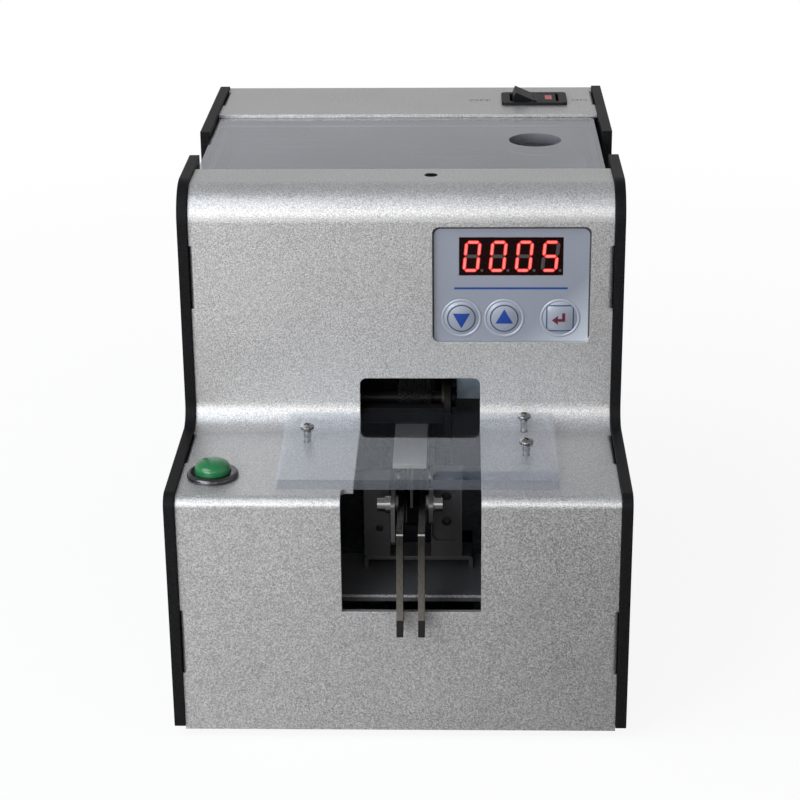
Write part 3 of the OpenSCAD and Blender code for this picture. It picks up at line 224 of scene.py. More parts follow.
def makeCamera():
    pitch = math.radians(shot["pitch"])
    yaw = math.radians(shot["yaw"])
    roll = math.radians(shot["roll"])
    forward = Vector((math.sin(yaw) * math.cos(pitch), math.cos(yaw) * math.cos(pitch), -math.sin(pitch)))
    right = forward.cross(Vector((0, 0, 1))).normalized()
    up = right.cross(forward)
    side = math.cos(roll) * right + math.sin(roll) * up
    top = math.cos(roll) * up - math.sin(roll) * right
    data = bpy.data.cameras.new("benchCamera")
    data.sensor_width = shot["sensor"]
    data.lens = shot["lens"]
    data.clip_start = shot["near"] * mm
    camera = bpy.data.objects.new("benchCamera", data)
    bpy.context.scene.collection.objects.link(camera)
    matrix = Matrix((side, top, -forward)).transposed().to_4x4()
    matrix.translation = Vector(shot["place"]) * mm
    camera.matrix_world = matrix
    bpy.context.scene.camera = camera


makeCamera()
bpy.context.scene.view_settings.view_transform = "Standard"
print("camera placed")


# studio: pale ground, white surroundings and four soft lamps

studio = {
    "ground": (0.86, 0.86, 0.86), "groundDark": (0.8514, 0.8514, 0.8514), "groundRough": 0.8,
    "groundHalf": 6.0,
    # the lens sees the ground nearly white, and wholly white away from the machine
    "groundSeen": 0.9, "groundFade": (0.12, 0.6),
    # in the metal the ground is brighter and cooler on the window's side
    "groundMirrored": {"left": (0.63, 0.63, 0.64), "right": (0.012, 0.01, 0.008), "half": 0.1},
    "ambient": 0.32, "roomSeen": 1.0, "roomMirrored": {"horizon": 0.82, "ceiling": 0.37},
    "aim": (0, 0, 0.07),
    "lamps": {
        "windowSoftbox": {
            "place": (-0.7, -1.15, 0.34), "size": (0.9, 0.4), "power": 7.6, "colour": (1.0, 0.99, 0.97)},
        "leftSoftbox": {
            "place": (-0.6, -0.5, 0.8), "size": (0.75, 0.75), "power": 8.0, "colour": (0.83, 0.91, 1.0)},
        "topSoftbox": {
            "place": (-0.1, -1.0, 0.56), "size": (1.0, 0.3), "power": 1.8, "colour": (1.0, 1.0, 1.0)},
        "rightFill": {
            "place": (1.1, -0.6, 0.6), "size": (0.6, 0.8), "power": 0.25, "colour": (1.0, 0.97, 0.94)},
    },
}


def rayKinds(place):
    # 1 for what the lens sees, straight or through clear parts, and 1 for what metal mirrors
    path = place.tree.nodes.new("ShaderNodeLightPath")
    camera, glossy, through = [Wire(place.tree, path.outputs[name]) for name in
                               ("Is Camera Ray", "Is Glossy Ray", "Is Transmission Ray")]
    return camera.maths("MAXIMUM", camera, through), glossy


def grey(level):
    return (level, level, level)


def makeStudio():
    material, tree, place = newTree("paleGround")
    speck = grain(place, 60, 3.0)
    matte = place.add("ShaderNodeBsdfPrincipled", {}, {
        "Base Color": blendColour(speck, studio["groundDark"], studio["ground"]),
        "Roughness": studio["groundRough"]})
    mirrored = studio["groundMirrored"]
    window = spread(axis(place, "X"), mirrored["half"], -mirrored["half"])
    seen, glossy = rayKinds(place)
    inMetal = blendColour(window, mirrored["right"], mirrored["left"])
    glow = place.add("ShaderNodeEmission", {}, {
        "Color": blendColour(glossy, grey(1.0), inMetal), "Strength": 1.0})
    distance = place.add("ShaderNodeVectorMath", {"operation": "LENGTH"}, {0: place}, "Value")
    white = studio["groundSeen"] + (1 - studio["groundSeen"]) * spread(distance, *studio["groundFade"])
    share = seen * white + glossy
    showShader(tree, place.add("ShaderNodeMixShader", {}, {0: share, 1: matte, 2: glow}))
    mesh = bpy.data.meshes.new("benchGround")
    half = studio["groundHalf"]
    corners = [(-half, -half, 0), (half, -half, 0), (half, half, 0), (-half, half, 0)]
    mesh.from_pydata(corners, [], [(0, 1, 2, 3)])
    mesh.materials.append(material)
    ground = bpy.data.objects.new("benchGround", mesh)
    bpy.context.scene.collection.objects.link(ground)

    world = bpy.data.worlds.new("softStudio")
    bpy.context.scene.world = world
    world.use_nodes = True
    tree = world.node_tree
    tree.nodes.clear()
    base = Wire(tree, tree.nodes.new("ShaderNodeTexCoord").outputs["Generated"])
    room = studio["roomMirrored"]
    inMetal = blendColour(spread(axis(base, "Z"), 0.0, 1.0), grey(room["horizon"]), grey(room["ceiling"]))
    seen, glossy = rayKinds(base)
    around = blendColour(seen, grey(studio["ambient"]), grey(studio["roomSeen"]))
    sky = base.add("ShaderNodeBackground", {}, {
        "Color": blendColour(glossy, around, inMetal), "Strength": 1.0})
    output = tree.nodes.new("ShaderNodeOutputWorld")
    tree.links.new(sky.socket, output.inputs["Surface"])

    target = Vector(studio["aim"])
    for name, lamp in studio["lamps"].items():
        data = bpy.data.lights.new(name, "AREA")
        data.shape = "RECTANGLE"
        data.size = lamp["size"][0]
        data.size_y = lamp["size"][1]
        data.energy = lamp["power"]
        data.color = lamp["colour"]
        light = bpy.data.objects.new(name, data)
        bpy.context.scene.collection.objects.link(light)
        light.location = lamp["place"]
        light.rotation_euler = (target - light.location).to_track_quat("-Z", "Y").to_euler()


makeStudio()
print("studio lit")


# finishes of the CAD nodes, by the record's material slots

blastedAluminium = {
    "dark": (0.325, 0.32, 0.32), "light": (0.69, 0.685, 0.685), "grain": 0.36, "soft": 0.18,
    "rough": (0.36, 0.52), "metal": 0.82, "bump": 0.1, "bumpShare": 0.5, "edge": 0.25, "patch": 30,
    "patchShare": 0.08,
    # the specks below are painted glints: sparse bright spots in the colour
    "scuffsAndGlints": {"size": 0.45, "stretch": (1, 1, 1), "from": 0.67, "to": 0.75, "colour": (0.9, 0.9, 0.92)}}
powderBlack = {
    "dark": (0.005, 0.005, 0.0055), "light": (0.011, 0.011, 0.0115), "grain": 0.5, "rough": (0.36, 0.55),
    "bump": 0.05, "edge": 0.5, "shine": 0.06,
    "scuffsAndGlints": {"size": 9, "stretch": (1, 0.4, 3), "from": 0.68, "to": 0.76, "colour": (0.014, 0.014, 0.016)}}
zincSheet = {
    "dark": (0.34, 0.37, 0.41), "light": (0.58, 0.61, 0.65), "grain": 3.0, "detail": 4.0,
    "rough": (0.28, 0.45), "metal": 0.9, "bump": 0.02, "edge": 0.2}
footRubber = {
    "dark": (0.008, 0.008, 0.008), "light": (0.022, 0.022, 0.021), "grain": 0.35, "rough": (0.7, 0.9),
    "bump": 0.06, "edge": 0.4}
brightNickel = {
    "dark": (0.55, 0.54, 0.52), "light": (0.78, 0.77, 0.75), "grain": 0.4, "rough": (0.12, 0.26),
    "metal": 1.0, "bump": 0.01, "edge": 0.15}
blackOxide = {
    "dark": (0.004, 0.004, 0.005), "light": (0.014, 0.014, 0.015), "grain": 0.3, "rough": (0.38, 0.55),
    "metal": 0.2, "bump": 0.02, "edge": 0.15, "shine": 0.2}
overlayFilm = {
    "dark": (0.235, 0.255, 0.305), "light": (0.295, 0.315, 0.37), "grain": 0.14, "rough": (0.34, 0.5),
    "metal": 0.35, "bump": 0.015, "edge": 0.2, "patch": 30}
keyFilm = {
    "dark": (0.25, 0.275, 0.33), "light": (0.31, 0.335, 0.395), "grain": 0.14, "rough": (0.26, 0.38),
    "metal": 0.3, "bump": 0.01, "edge": 0.3, "coat": 0.25, "coatRough": 0.15}
displayGlass = {
    "dark": (0.006, 0.001, 0.001), "light": (0.011, 0.002, 0.002), "grain": 0.5, "rough": (0.2, 0.3),
    "bump": 0.004, "edge": 0.1, "shine": 0.12}
circuitGreen = {
    "dark": (0.008, 0.06, 0.025), "light": (0.02, 0.13, 0.05), "grain": 1.2, "detail": 0.0,
    "rough": (0.3, 0.5), "bump": 0.03, "edge": 0.1}
mouldedBlack = {
    "dark": (0.005, 0.005, 0.006), "light": (0.012, 0.012, 0.013), "grain": 0.22, "rough": (0.42, 0.6),
    "bump": 0.03, "edge": 0.2, "shine": 0.15}
buttonGreen = {
    "dark": (0.006, 0.128, 0.039), "light": (0.009, 0.152, 0.047), "grain": 0.5, "rough": (0.2, 0.27),
    "bump": 0.006, "edge": 0.3, "coat": 0.15, "coatRough": 0.08}
satinNickel = {
    "dark": (0.055, 0.053, 0.056), "light": (0.12, 0.116, 0.12), "grain": 0.3, "stretch": (0.3, 0.3, 3),
    "rough": (0.1, 0.2), "metal": 1.0, "bump": 0.01, "edge": 0.2}
# painted highlight: the key rims take a lighter copy of the key film
litRimFilm = {
    "dark": (0.29, 0.315, 0.375), "light": (0.36, 0.385, 0.445), "grain": 0.14, "rough": (0.3, 0.42),
    "metal": 0.3, "bump": 0.01, "edge": 0.1}
holeBlack = {
    "dark": (0.001, 0.001, 0.001), "light": (0.004, 0.004, 0.004), "grain": 0.3, "rough": (0.55, 0.7),
    "bump": 0.02, "edge": 0.12, "shine": 0.02}
rockerBlack = {
    "dark": (0.004, 0.004, 0.004), "light": (0.008, 0.008, 0.009), "grain": 0.3, "rough": (0.36, 0.5),
    "bump": 0.02, "edge": 0.35, "shine": 0.07}
bareSteel = {
    "dark": (0.32, 0.32, 0.33), "light": (0.5, 0.5, 0.5), "grain": 0.25, "stretch": (0.15, 1, 1),
    "rough": (0.3, 0.5), "metal": 1.0, "bump": 0.02, "edge": 0.2}
naturalNylon = {
    "dark": (0.6, 0.58, 0.5), "light": (0.74, 0.72, 0.64), "grain": 4, "rough": (0.4, 0.55), "bump": 0.02,
    "edge": 0.2}
greyMoulding = {
    "dark": (0.05, 0.055, 0.065), "light": (0.09, 0.095, 0.11), "grain": 0.4, "rough": (0.4, 0.55),
    "bump": 0.03, "edge": 0.2}
turnedBrass = {
    "dark": (0.45, 0.30, 0.10), "light": (0.68, 0.49, 0.2), "grain": 0.2, "stretch": (4, 1, 1),
    "rough": (0.2, 0.35), "metal": 1.0, "bump": 0.01, "edge": 0.15}
groundSteel = {
    "dark": (0.42, 0.42, 0.42), "light": (0.6, 0.6, 0.6), "grain": 0.15, "stretch": (4, 1, 1),
    "rough": (0.15, 0.3), "metal": 1.0, "bump": 0.008, "edge": 0.15}
railSteel = {
    "dark": (0.20, 0.186, 0.165), "light": (0.232, 0.218, 0.195), "grain": 0.3, "stretch": (1, 1, 0.08),
    "rough": (0.24, 0.34), "metal": 1.0, "bump": 0.01, "edge": 0.12}
bluedSpring = {
    "dark": (0.018, 0.02, 0.027), "light": (0.035, 0.038, 0.048), "grain": 0.4, "stretch": (0.2, 1, 1),
    "rough": (0.25, 0.4), "metal": 1.0, "bump": 0.01, "edge": 0.1}
coilTape = {
    "dark": (0.3, 0.1, 0.02), "light": (0.5, 0.2, 0.05), "grain": 0.5, "stretch": (0.2, 3, 0.2),
    "rough": (0.3, 0.5), "bump": 0.08, "edge": 0.2}
bristleBlack = {
    "dark": (0.004, 0.004, 0.004), "light": (0.02, 0.02, 0.02), "grain": 0.5, "rough": (0.5, 0.8),
    "bump": 0.02, "edge": 0.1}
stripSatin = {
    "dark": (0.42, 0.41, 0.39), "light": (0.58, 0.57, 0.54), "grain": 0.2, "stretch": (1, 0.15, 1),
    "rough": (0.3, 0.45), "metal": 0.9, "bump": 0.015, "edge": 0.15}
deckBlack = {
    "dark": (0.062, 0.064, 0.068), "light": (0.078, 0.08, 0.085), "grain": 3.0, "rough": (0.4, 0.5),
    "bump": 0.01, "edge": 0.15}
sensorBlack = {
    "dark": (0.020, 0.020, 0.022), "light": (0.036, 0.036, 0.038), "grain": 0.25, "rough": (0.34, 0.5),
    "bump": 0.03, "edge": 0.25, "shine": 0.6}
channelBlack = {
    "dark": (0.028, 0.028, 0.031), "light": (0.05, 0.05, 0.054), "grain": 0.4, "rough": (0.3, 0.45),
    "bump": 0.03, "edge": 0.3, "shine": 0.6}
cheekSteel = {
    "dark": (0.10, 0.10, 0.10), "light": (0.17, 0.17, 0.17), "grain": 0.2, "stretch": (1, 1, 0.2),
    "rough": (0.3, 0.45), "metal": 0.9, "bump": 0.015, "edge": 0.15}
clampNickel = {
    "dark": (0.20, 0.195, 0.19), "light": (0.36, 0.355, 0.345), "grain": 0.3, "rough": (0.1, 0.2),
    "metal": 1.0, "bump": 0.01, "edge": 0.12}
plateNickel = {
    "dark": (0.24, 0.235, 0.23), "light": (0.44, 0.435, 0.425), "grain": 0.5, "rough": (0.07, 0.16),
    "metal": 1.0, "bump": 0.012, "edge": 0.1}
oiledBronze = {
    "dark": (0.02, 0.015, 0.01), "light": (0.05, 0.038, 0.024), "grain": 0.3, "rough": (0.4, 0.55),
    "metal": 0.5, "bump": 0.02, "edge": 0.15, "shine": 0.3}
bracketBlue = {
    "dark": (0.20, 0.245, 0.31), "light": (0.30, 0.35, 0.42), "grain": 3.0, "detail": 4.0,
    "rough": (0.35, 0.5), "metal": 0.8, "bump": 0.02, "edge": 0.2}
shelfAcrylic = {
    "tint": (0.975, 0.98, 0.99), "gleam": (0.86, 0.93, 1.0), "polish": 0.04, "ior": 1.49,
    "bothFaces": 1.5, "grain": 0.8, "patch": 22, "haze": 0.03, "frost": 0.32, "fade": 0.8, "rim": 0.0,
    "milk": (0.18, 0.195, 0.225), "milkDark": (0.14, 0.155, 0.185)}
lidAcrylic = {
    "tint": (0.64, 0.65, 0.69), "gleam": (0.94, 0.95, 1.0), "polish": 0.08, "ior": 1.49, "bothFaces": 1.5,
    "grain": 2.2, "patch": 45, "stretch": (0.05, 1, 1), "haze": 0.2, "frost": 0.45, "fade": 0.15,
    "rim": 0.55, "milk": (0.42, 0.425, 0.46), "milkDark": (0.12, 0.122, 0.138)}

looks = {
    "black_paint": powderBlack, "cover_silver": blastedAluminium, "zinc_sheet": zincSheet,
    "foot_rubber": footRubber, "bright_screw": brightNickel, "black_screw": blackOxide,
    "overlay_film": overlayFilm, "key_film": keyFilm, "display_black": displayGlass,
    "board_green": circuitGreen, "black_plastic": mouldedBlack, "button_green": buttonGreen,
    "button_nickel": satinNickel, "rocker_black": rockerBlack, "hopper_steel": bareSteel,
    "gear_nylon": naturalNylon, "wheel_plastic": greyMoulding, "bush_brass": turnedBrass,
    "shaft_steel": groundSteel, "rail_steel": railSteel, "spring_steel": bluedSpring,
    "coil_tape": coilTape, "brush_nylon": bristleBlack, "strip_silver": stripSatin,
    "deck_black": deckBlack}


# painted shade, painted highlights and bare edges, placed by the nodes' own boxes, lengths in mm

coverGapShadow = {"reach": 0.08, "from": 1.1, "to": 3.0, "colour": (0.1, 0.1, 0.105)}
stripFingerShade = {"below": 1.45, "colour": (0.022, 0.022, 0.023)}
screwShade = {"reach": 0.8, "hollow": (0.55, 0.85), "recess": (0.008, 0.008, 0.009),
              "tilt": 2.2, "sheet": 3.0, "clear": 0.03, "shank": (0.22, 0.22, 0.23)}
deckEdge = {"reach": 0.15, "high": 0.75, "grain": 0.5, "ragged": (0.3, 0.55), "colour": (0.4, 0.4, 0.41)}
railShading = {"shadowTo": 3.0, "litFrom": 26.0, "shadowTone": (0.042, 0.039, 0.036),
            "kinkFrom": 0.28, "kinkTo": 0.62, "kinkReach": 6.6, "kinkHighlight": (0.62, 0.60, 0.54)}
overlayShade = {
    "edge": 1.3, "gap": 0.45, "hidden": 0.9, "corner": 2.0, "below": 4.0, "line": (0.05, 0.05, 0.055),
    "sheenFrom": 24.0, "sheenTo": 3.0, "sheenFilm": (0.52, 0.56, 0.62)}
troughShade = {"shadeFrom": 34.0, "darkestAt": 14.0, "colour": (0.05, 0.05, 0.052)}


def paintCover(place, colour):    # painted shadow on the lower half of the rear cover's cut front edge, which lies in the lid's shadow gap
    low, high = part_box("rear_cover")
    reach = coverGapShadow["reach"] * mm
    onEdge = between(axis(place, "Y"), low.y - reach, low.y + reach)
    onTop = between(axis(place, "Z"), high.z - coverGapShadow["to"] * mm, high.z - coverGapShadow["from"] * mm)
    return blendColour(onEdge * onTop, colour, coverGapShadow["colour"])


def paintStrip(place, colour):    # painted shade: the finger under the strip is painted dark
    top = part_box("hold_down_strip")[1].z
    return blendColour(axis(place, "Z") < top - stripFingerShade["below"] * mm, colour, stripFingerShade["colour"])


def paintPlateScrews(place, colour):    # painted shade in the heads' cross recesses from ambient occlusion, and a darker shank below the sloping plate's top
    reach = screwShade["reach"] * mm
    # painted shade: ambient occlusion darkens the recesses
    hollow = place.add("ShaderNodeAmbientOcclusion", {"samples": 6}, {"Distance": reach}, "AO")
    colour = blendColour(spread(hollow, *screwShade["hollow"]), screwShade["recess"], colour)
    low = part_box("shelf_plate")[0]
    tilt = math.radians(screwShade["tilt"])
    top = (screwShade["sheet"] + screwShade["clear"]) * mm
    height = (axis(place, "Z") - low.z) * math.cos(tilt) - (axis(place, "Y") - low.y) * math.sin(tilt)
    return blendColour(height > top, screwShade["shank"], colour)


def paintDeck(place, colour):    # the deck's front edge is sawn and bare
    low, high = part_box("sensor_deck")
    ragged = spread(grain(place, deckEdge["grain"], 3.0), *deckEdge["ragged"])
    front = axis(place, "Y") < low.y + deckEdge["reach"] * mm
    front = front * (axis(place, "Z") > high.z - deckEdge["high"] * mm)
    return blendColour(front * ragged, colour, deckEdge["colour"])


def paintRail(place, colour):    # painted shade darkens the rail towards its top, and a painted highlight runs along the kink
    low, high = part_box("left_rail")
    height = axis(place, "Z")
    below = spread(height, high.z - railShading["shadowTo"] * mm, high.z - railShading["litFrom"] * mm)
    shadedRail = blendColour(below, railShading["shadowTone"], colour)
    # painted highlight along the kink, near the rail's front
    kinkHighlight = between(height, high.z - railShading["kinkTo"] * mm, high.z - railShading["kinkFrom"] * mm)
    kinkHighlight = kinkHighlight * (axis(place, "Y") < low.y + railShading["kinkReach"] * mm)
    return blendColour(kinkHighlight, shadedRail, railShading["kinkHighlight"])


def paintOverlay(place, colour):    # painted shadow line at the cut-out's sides and top, and a painted sheen that lightens the film to the lower right
    low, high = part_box("counter_overlay")
    inset = (overlayShade["edge"] + overlayShade["gap"]) * mm
    corner = overlayShade["corner"] * mm
    left, right = low.x + inset, high.x - inset
    bottom = low.z - overlayShade["below"] * mm
    top = high.z - (overlayShade["edge"] + overlayShade["hidden"]) * mm
    across = axis(place, "X") - (left + right) / 2
    upward = axis(place, "Z") - (bottom + top) / 2
    outX = across.maths("ABSOLUTE", across) - ((right - left) / 2 - corner)
    outZ = upward.maths("ABSOLUTE", upward) - ((top - bottom) / 2 - corner)
    outX = outX.maths("MAXIMUM", outX, 0.0)
    outZ = outZ.maths("MAXIMUM", outZ, 0.0)
    away = outX * outX + outZ * outZ
    # painted sheen: the film is lighter towards the lower right corner
    toCorner = axis(place, "X") - axis(place, "Z")
    end = high.x - low.z
    pale = spread(toCorner, end - overlayShade["sheenFrom"] * mm, end - overlayShade["sheenTo"] * mm)
    film = blendColour(pale, colour, overlayShade["sheenFilm"])
    return blendColour(away > corner * corner, film, overlayShade["line"])


def paintHopper(place, colour):    # painted shade: the trough is darker towards its bottom
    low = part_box("hopper")[0]
    shadeStart, shadeEnd = low.z + troughShade["shadeFrom"] * mm, low.z + troughShade["darkestAt"] * mm
    return blendColour(spread(axis(place, "Z"), shadeStart, shadeEnd), colour, troughShade["colour"])


paints = {
    "cover_silver": paintCover, "hopper_steel": paintHopper, "rail_steel": paintRail,
    "deck_black": paintDeck, "overlay_film": paintOverlay}
ownLooks = {
    "clamp_cheeks": (cheekSteel, None), "rail_screws": (clampNickel, None),
    "count_sensors": (sensorBlack, None), "sensor_bracket": (channelBlack, None),
    "brush_bushes": (oiledBronze, None), "brush_gear": (sensorBlack, None),
    "counter_bracket": (bracketBlue, None), "cover_screw": (holeBlack, None),
    "hold_down_strip": (stripSatin, paintStrip), "plate_screws": (plateNickel, paintPlateScrews)}


def dressNodes():
    finishes = {name: metalOrPlastic(name, look, paints.get(name)) for name, look in looks.items()}
    finishes["clear_acrylic"] = clearSheet("clear_acrylic", shelfAcrylic, *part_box("shelf_plate"))
    finishes["lid_acrylic"] = clearSheet("lid_acrylic", lidAcrylic, *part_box("lid"))
    for name, (look, paint) in ownLooks.items():
        finishes[name] = metalOrPlastic(name, look, paint)
    for row in frame["record"]["subparts"]:
        node = frame["nodes"][row["node"]]
        node.data.materials.clear()
        node.data.materials.append(finishes.get(row["node"]) or finishes[row["material_slot"]])
    return finishes


finishes = dressNodes()
print("finishes made:", len(finishes))


# mesh helpers for printed marks and small parts

def addPiece(name, mesh, material, body):
    mesh.materials.append(material)
    piece = bpy.data.objects.new(name, mesh)
    bpy.context.scene.collection.objects.link(piece)
    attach(piece, body)
    return piece


def closeMesh(name, work):
    mesh = bpy.data.meshes.new(name)
    work.to_mesh(mesh)
    work.free()
    return mesh


def thicken(work, shift):    # gives flat faces a thickness
    grown = bmesh.ops.extrude_face_region(work, geom=list(work.faces))
    for item in grown["geom"]:
        if isinstance(item, bmesh.types.BMVert):
            item.co += Vector(shift)
    bmesh.ops.recalc_face_normals(work, faces=list(work.faces))


def joinRings(work, here, after):
    for i in range(len(here)):
        j = (i + 1) % len(here)
        work.faces.new((here[i], here[j], after[j], after[i]))


def closedBar(work, sections):    # sections of corners, joined one to the next, with both ends closed
    rings = [[work.verts.new(corner) for corner in section] for section in sections]
    for here, after in zip(rings, rings[1:]):
        joinRings(work, here, after)
    work.faces.new(rings[0][::-1])
    work.faces.new(rings[-1])


def raisedPrint(name, outlines, turn, thick):
    # flat outlines in mm, laid in the turn matrix's XY plane and raised by thick mm
    work = bmesh.new()
    for outline in outlines:
        work.faces.new([work.verts.new((x, y, 0)) for x, y in outline])
    thicken(work, (0, 0, thick))
    for vert in work.verts:
        vert.co = turn @ (vert.co * mm)
    return closeMesh(name, work)


def facing(centre):    # a plane that looks to the front, its X right and its Y up
    return Matrix.Translation(centre) @ Matrix.Rotation(math.radians(90), 4, "X")


# counter display: four slanted seven segment digits, lengths in mm

digits = {
    "text": "0005", "left": 0.75, "base": 0.9, "wide": 4.95, "high": 9.65, "half": 0.53, "pitch": 7.62,
    "slant": 0.09, "gap": 0.1, "core": 0.31, "coreTrim": 0.55,
    "thick": {"dark": 0.04, "lit": 0.05, "core": 0.07},
    "dot": {"right": 0.85, "up": 0.5, "radius": 0.45, "sides": 16},
    "bulb": (0.12, 0.004, 0.004), "lit": ((0.85, 0.02, 0.02), (0.95, 0.035, 0.03)),
    "hot": ((1.0, 0.22, 0.19), (1.0, 0.30, 0.26)),
    "unlit": {"dark": (0.045, 0.032, 0.032), "light": (0.065, 0.045, 0.045), "grain": 0.5,
              "rough": (0.3, 0.4), "bump": 0.004, "edge": 0.05}}
litSegments = {"0": "ABCDEF", "5": "AFGCD"}


def segmentLines():    # tips of each bar's middle line
    wide, high, half, gap = digits["wide"], digits["high"], digits["half"], digits["gap"]
    left, right, middle = half, wide - half, high / 2

    def level(y):
        return (left + gap, y), (right - gap, y)

    def upright(x, low, high):
        return (x, low + gap), (x, high - gap)

    return {
        "A": level(high - half), "G": level(middle), "D": level(half),
        "F": upright(left, middle, high - half), "B": upright(right, middle, high - half),
        "E": upright(left, half, middle), "C": upright(right, half, middle),
    }


def barOutline(line, half, trim):    # six-sided bar with pointed ends
    start, end = Vector(line[0]), Vector(line[1])
    along = (end - start).normalized()
    across = Vector((-along.y, along.x))
    start, end = start + along * trim, end - along * trim
    corners = [start, start + (along - across) * half, end - (along + across) * half,
               end, end - (along - across) * half, start + (along + across) * half]
    return [(point.x, point.y) for point in corners]


def glowFinish(name, first, second):
    material, tree, place = newTree(name)
    core = grain(place, 0.9, 1.0)
    red = blendColour(spread(core, 0.3, 0.7), first, second)
    showShader(tree, place.add("ShaderNodeBsdfPrincipled", {}, {
        "Base Color": (*digits["bulb"], 1), "Emission Color": red, "Emission Strength": 1.0,
        "Roughness": 0.4 + 0.1 * core}))
    return material


def makeDisplay():
    turn = facing(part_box("display_module")[0])
    dot = digits["dot"]
    angles = [2 * math.pi * i / dot["sides"] for i in range(dot["sides"])]
    layers = {"lit": [], "core": [], "dark": []}
    for index, figure in enumerate(digits["text"]):
        shift = digits["left"] + index * digits["pitch"]
        for name, line in segmentLines().items():
            bar = barOutline(line, digits["half"], 0)
            shapes = {"dark": bar}
            if name in litSegments[figure]:
                trim = digits["half"] * digits["coreTrim"]
                shapes = {"lit": bar, "core": barOutline(line, digits["core"], trim)}
            for layer, outline in shapes.items():
                layers[layer].append([(x + shift + y * digits["slant"], y + digits["base"])
                                      for x, y in outline])
        dotX = shift + digits["wide"] + dot["right"]
        dotY = digits["base"] + dot["up"]
        layers["dark"].append([(dotX + dot["radius"] * math.cos(a), dotY + dot["radius"] * math.sin(a))
                               for a in angles])
    finish = {
        "lit": glowFinish("litSegment", *digits["lit"]), "core": glowFinish("litCore", *digits["hot"]),
        "dark": metalOrPlastic("unlitSegment", digits["unlit"])}
    names = {"lit": "litDigits", "core": "litCores", "dark": "unlitDigits"}
    for layer, outlines in layers.items():
        mesh = raisedPrint(names[layer], outlines, turn, digits["thick"][layer])
        addPiece(names[layer], mesh, finish[layer], "machine")


makeDisplay()
print("display digits made")


# printed marks on the domed keys and the overlay, and embossed rims around the keys in a lighter film as painted
# highlight, lengths in mm

keyMarks = {
    "thick": 0.05, "lift": 0.03, "domeHigh": 0.8, "domeWide": 10.6, "longest": 1.0, "cuts": 4, "same": 1e-5,
    "ringOuter": (4.25, 4.25), "ringInner": (3.85, 3.85),
    "squareOuter": (4.1, 1.05), "squareInner": (3.7, 0.65),
    "down": [(-2.55, 1.57), (0, -3.0), (2.55, 1.57)],
    "up": [(-2.6, -1.53), (2.6, -1.53), (0, 2.9)],
    "enter": [(1.5, 1.7), (1.5, -0.95), (-0.6, -0.95), (-0.6, -1.9), (-2.4, -0.5), (-0.6, 0.9), (-0.6, -0.05),
              (0.6, -0.05), (0.6, 1.7)],
    "rimInner": 5.1, "rimOuter": 6.0, "rimHigh": 0.26, "rimSteps": 8, "rimTurns": 72,
    "rule": {"left": 7.7, "up": 17.3, "wide": 33.2, "high": 0.6, "thick": 0.03},
    "blue": (0.008, 0.04, 0.22), "slate": (0.045, 0.06, 0.11), "red": (0.10, 0.012, 0.022)}


def inkFinish(name, colour):
    return metalOrPlastic(name, {
        "dark": [c * 0.85 for c in colour], "light": [c * 1.15 for c in colour], "grain": 0.2,
        "rough": (0.36, 0.48), "bump": 0.004, "edge": 0.03, "shine": 0.25})


def domeSink(x, z):    # how far the dome has fallen at a place
    radius = ((keyMarks["domeWide"] / 2) ** 2 + keyMarks["domeHigh"] ** 2) / (2 * keyMarks["domeHigh"])
    return radius - math.sqrt(radius * radius - x * x - z * z)


def ringLoop(half, corner, steps=12):    # rounded square, or a circle where corner is half
    points = []
    for quarter in range(4):
        for step in range(steps):
            angle = (quarter + step / (steps - 1)) * math.pi / 2
            side = half - corner
            signX = 1 if quarter in (0, 3) else -1
            signZ = 1 if quarter in (0, 1) else -1
            points.append((signX * side + corner * math.cos(angle), signZ * side + corner * math.sin(angle)))
    return points


def domePrint(name, key, rings, shapes, material):    # ink on a domed key, as rings and as filled outlines
    low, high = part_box(key)
    apex = Vector(((low.x + high.x) / 2, low.y, (low.z + high.z) / 2))
    work = bmesh.new()
    for outer, inner in rings:
        outerVerts = [work.verts.new((x, 0, z)) for x, z in outer]
        innerVerts = [work.verts.new((x, 0, z)) for x, z in inner]
        for i in range(len(outer)):
            j = (i + 1) % len(outer)
            if (outerVerts[i].co - outerVerts[j].co).length > keyMarks["same"]:
                work.faces.new((outerVerts[i], outerVerts[j], innerVerts[j], innerVerts[i]))
    for outline in shapes:
        work.faces.new([work.verts.new((x, 0, z)) for x, z in outline])
    bmesh.ops.remove_doubles(work, verts=list(work.verts), dist=keyMarks["same"])
    bmesh.ops.triangulate(work, faces=[f for f in work.faces if len(f.verts) > 4])
    longEdges = [e for e in work.edges if e.calc_length() > keyMarks["longest"]]
    bmesh.ops.subdivide_edges(work, edges=longEdges, cuts=keyMarks["cuts"], use_grid_fill=True)
    bmesh.ops.recalc_face_normals(work, faces=list(work.faces))
    for face in work.faces:    # all look to the front before they grow
        if face.normal.y > 0:
            face.normal_flip()
    thicken(work, (0, -keyMarks["thick"], 0))
    for vert in work.verts:
        vert.co.y += domeSink(vert.co.x, vert.co.z) + keyMarks["thick"] - keyMarks["lift"]
        vert.co = apex + vert.co * mm
    addPiece(name, closeMesh(name, work), material, key)


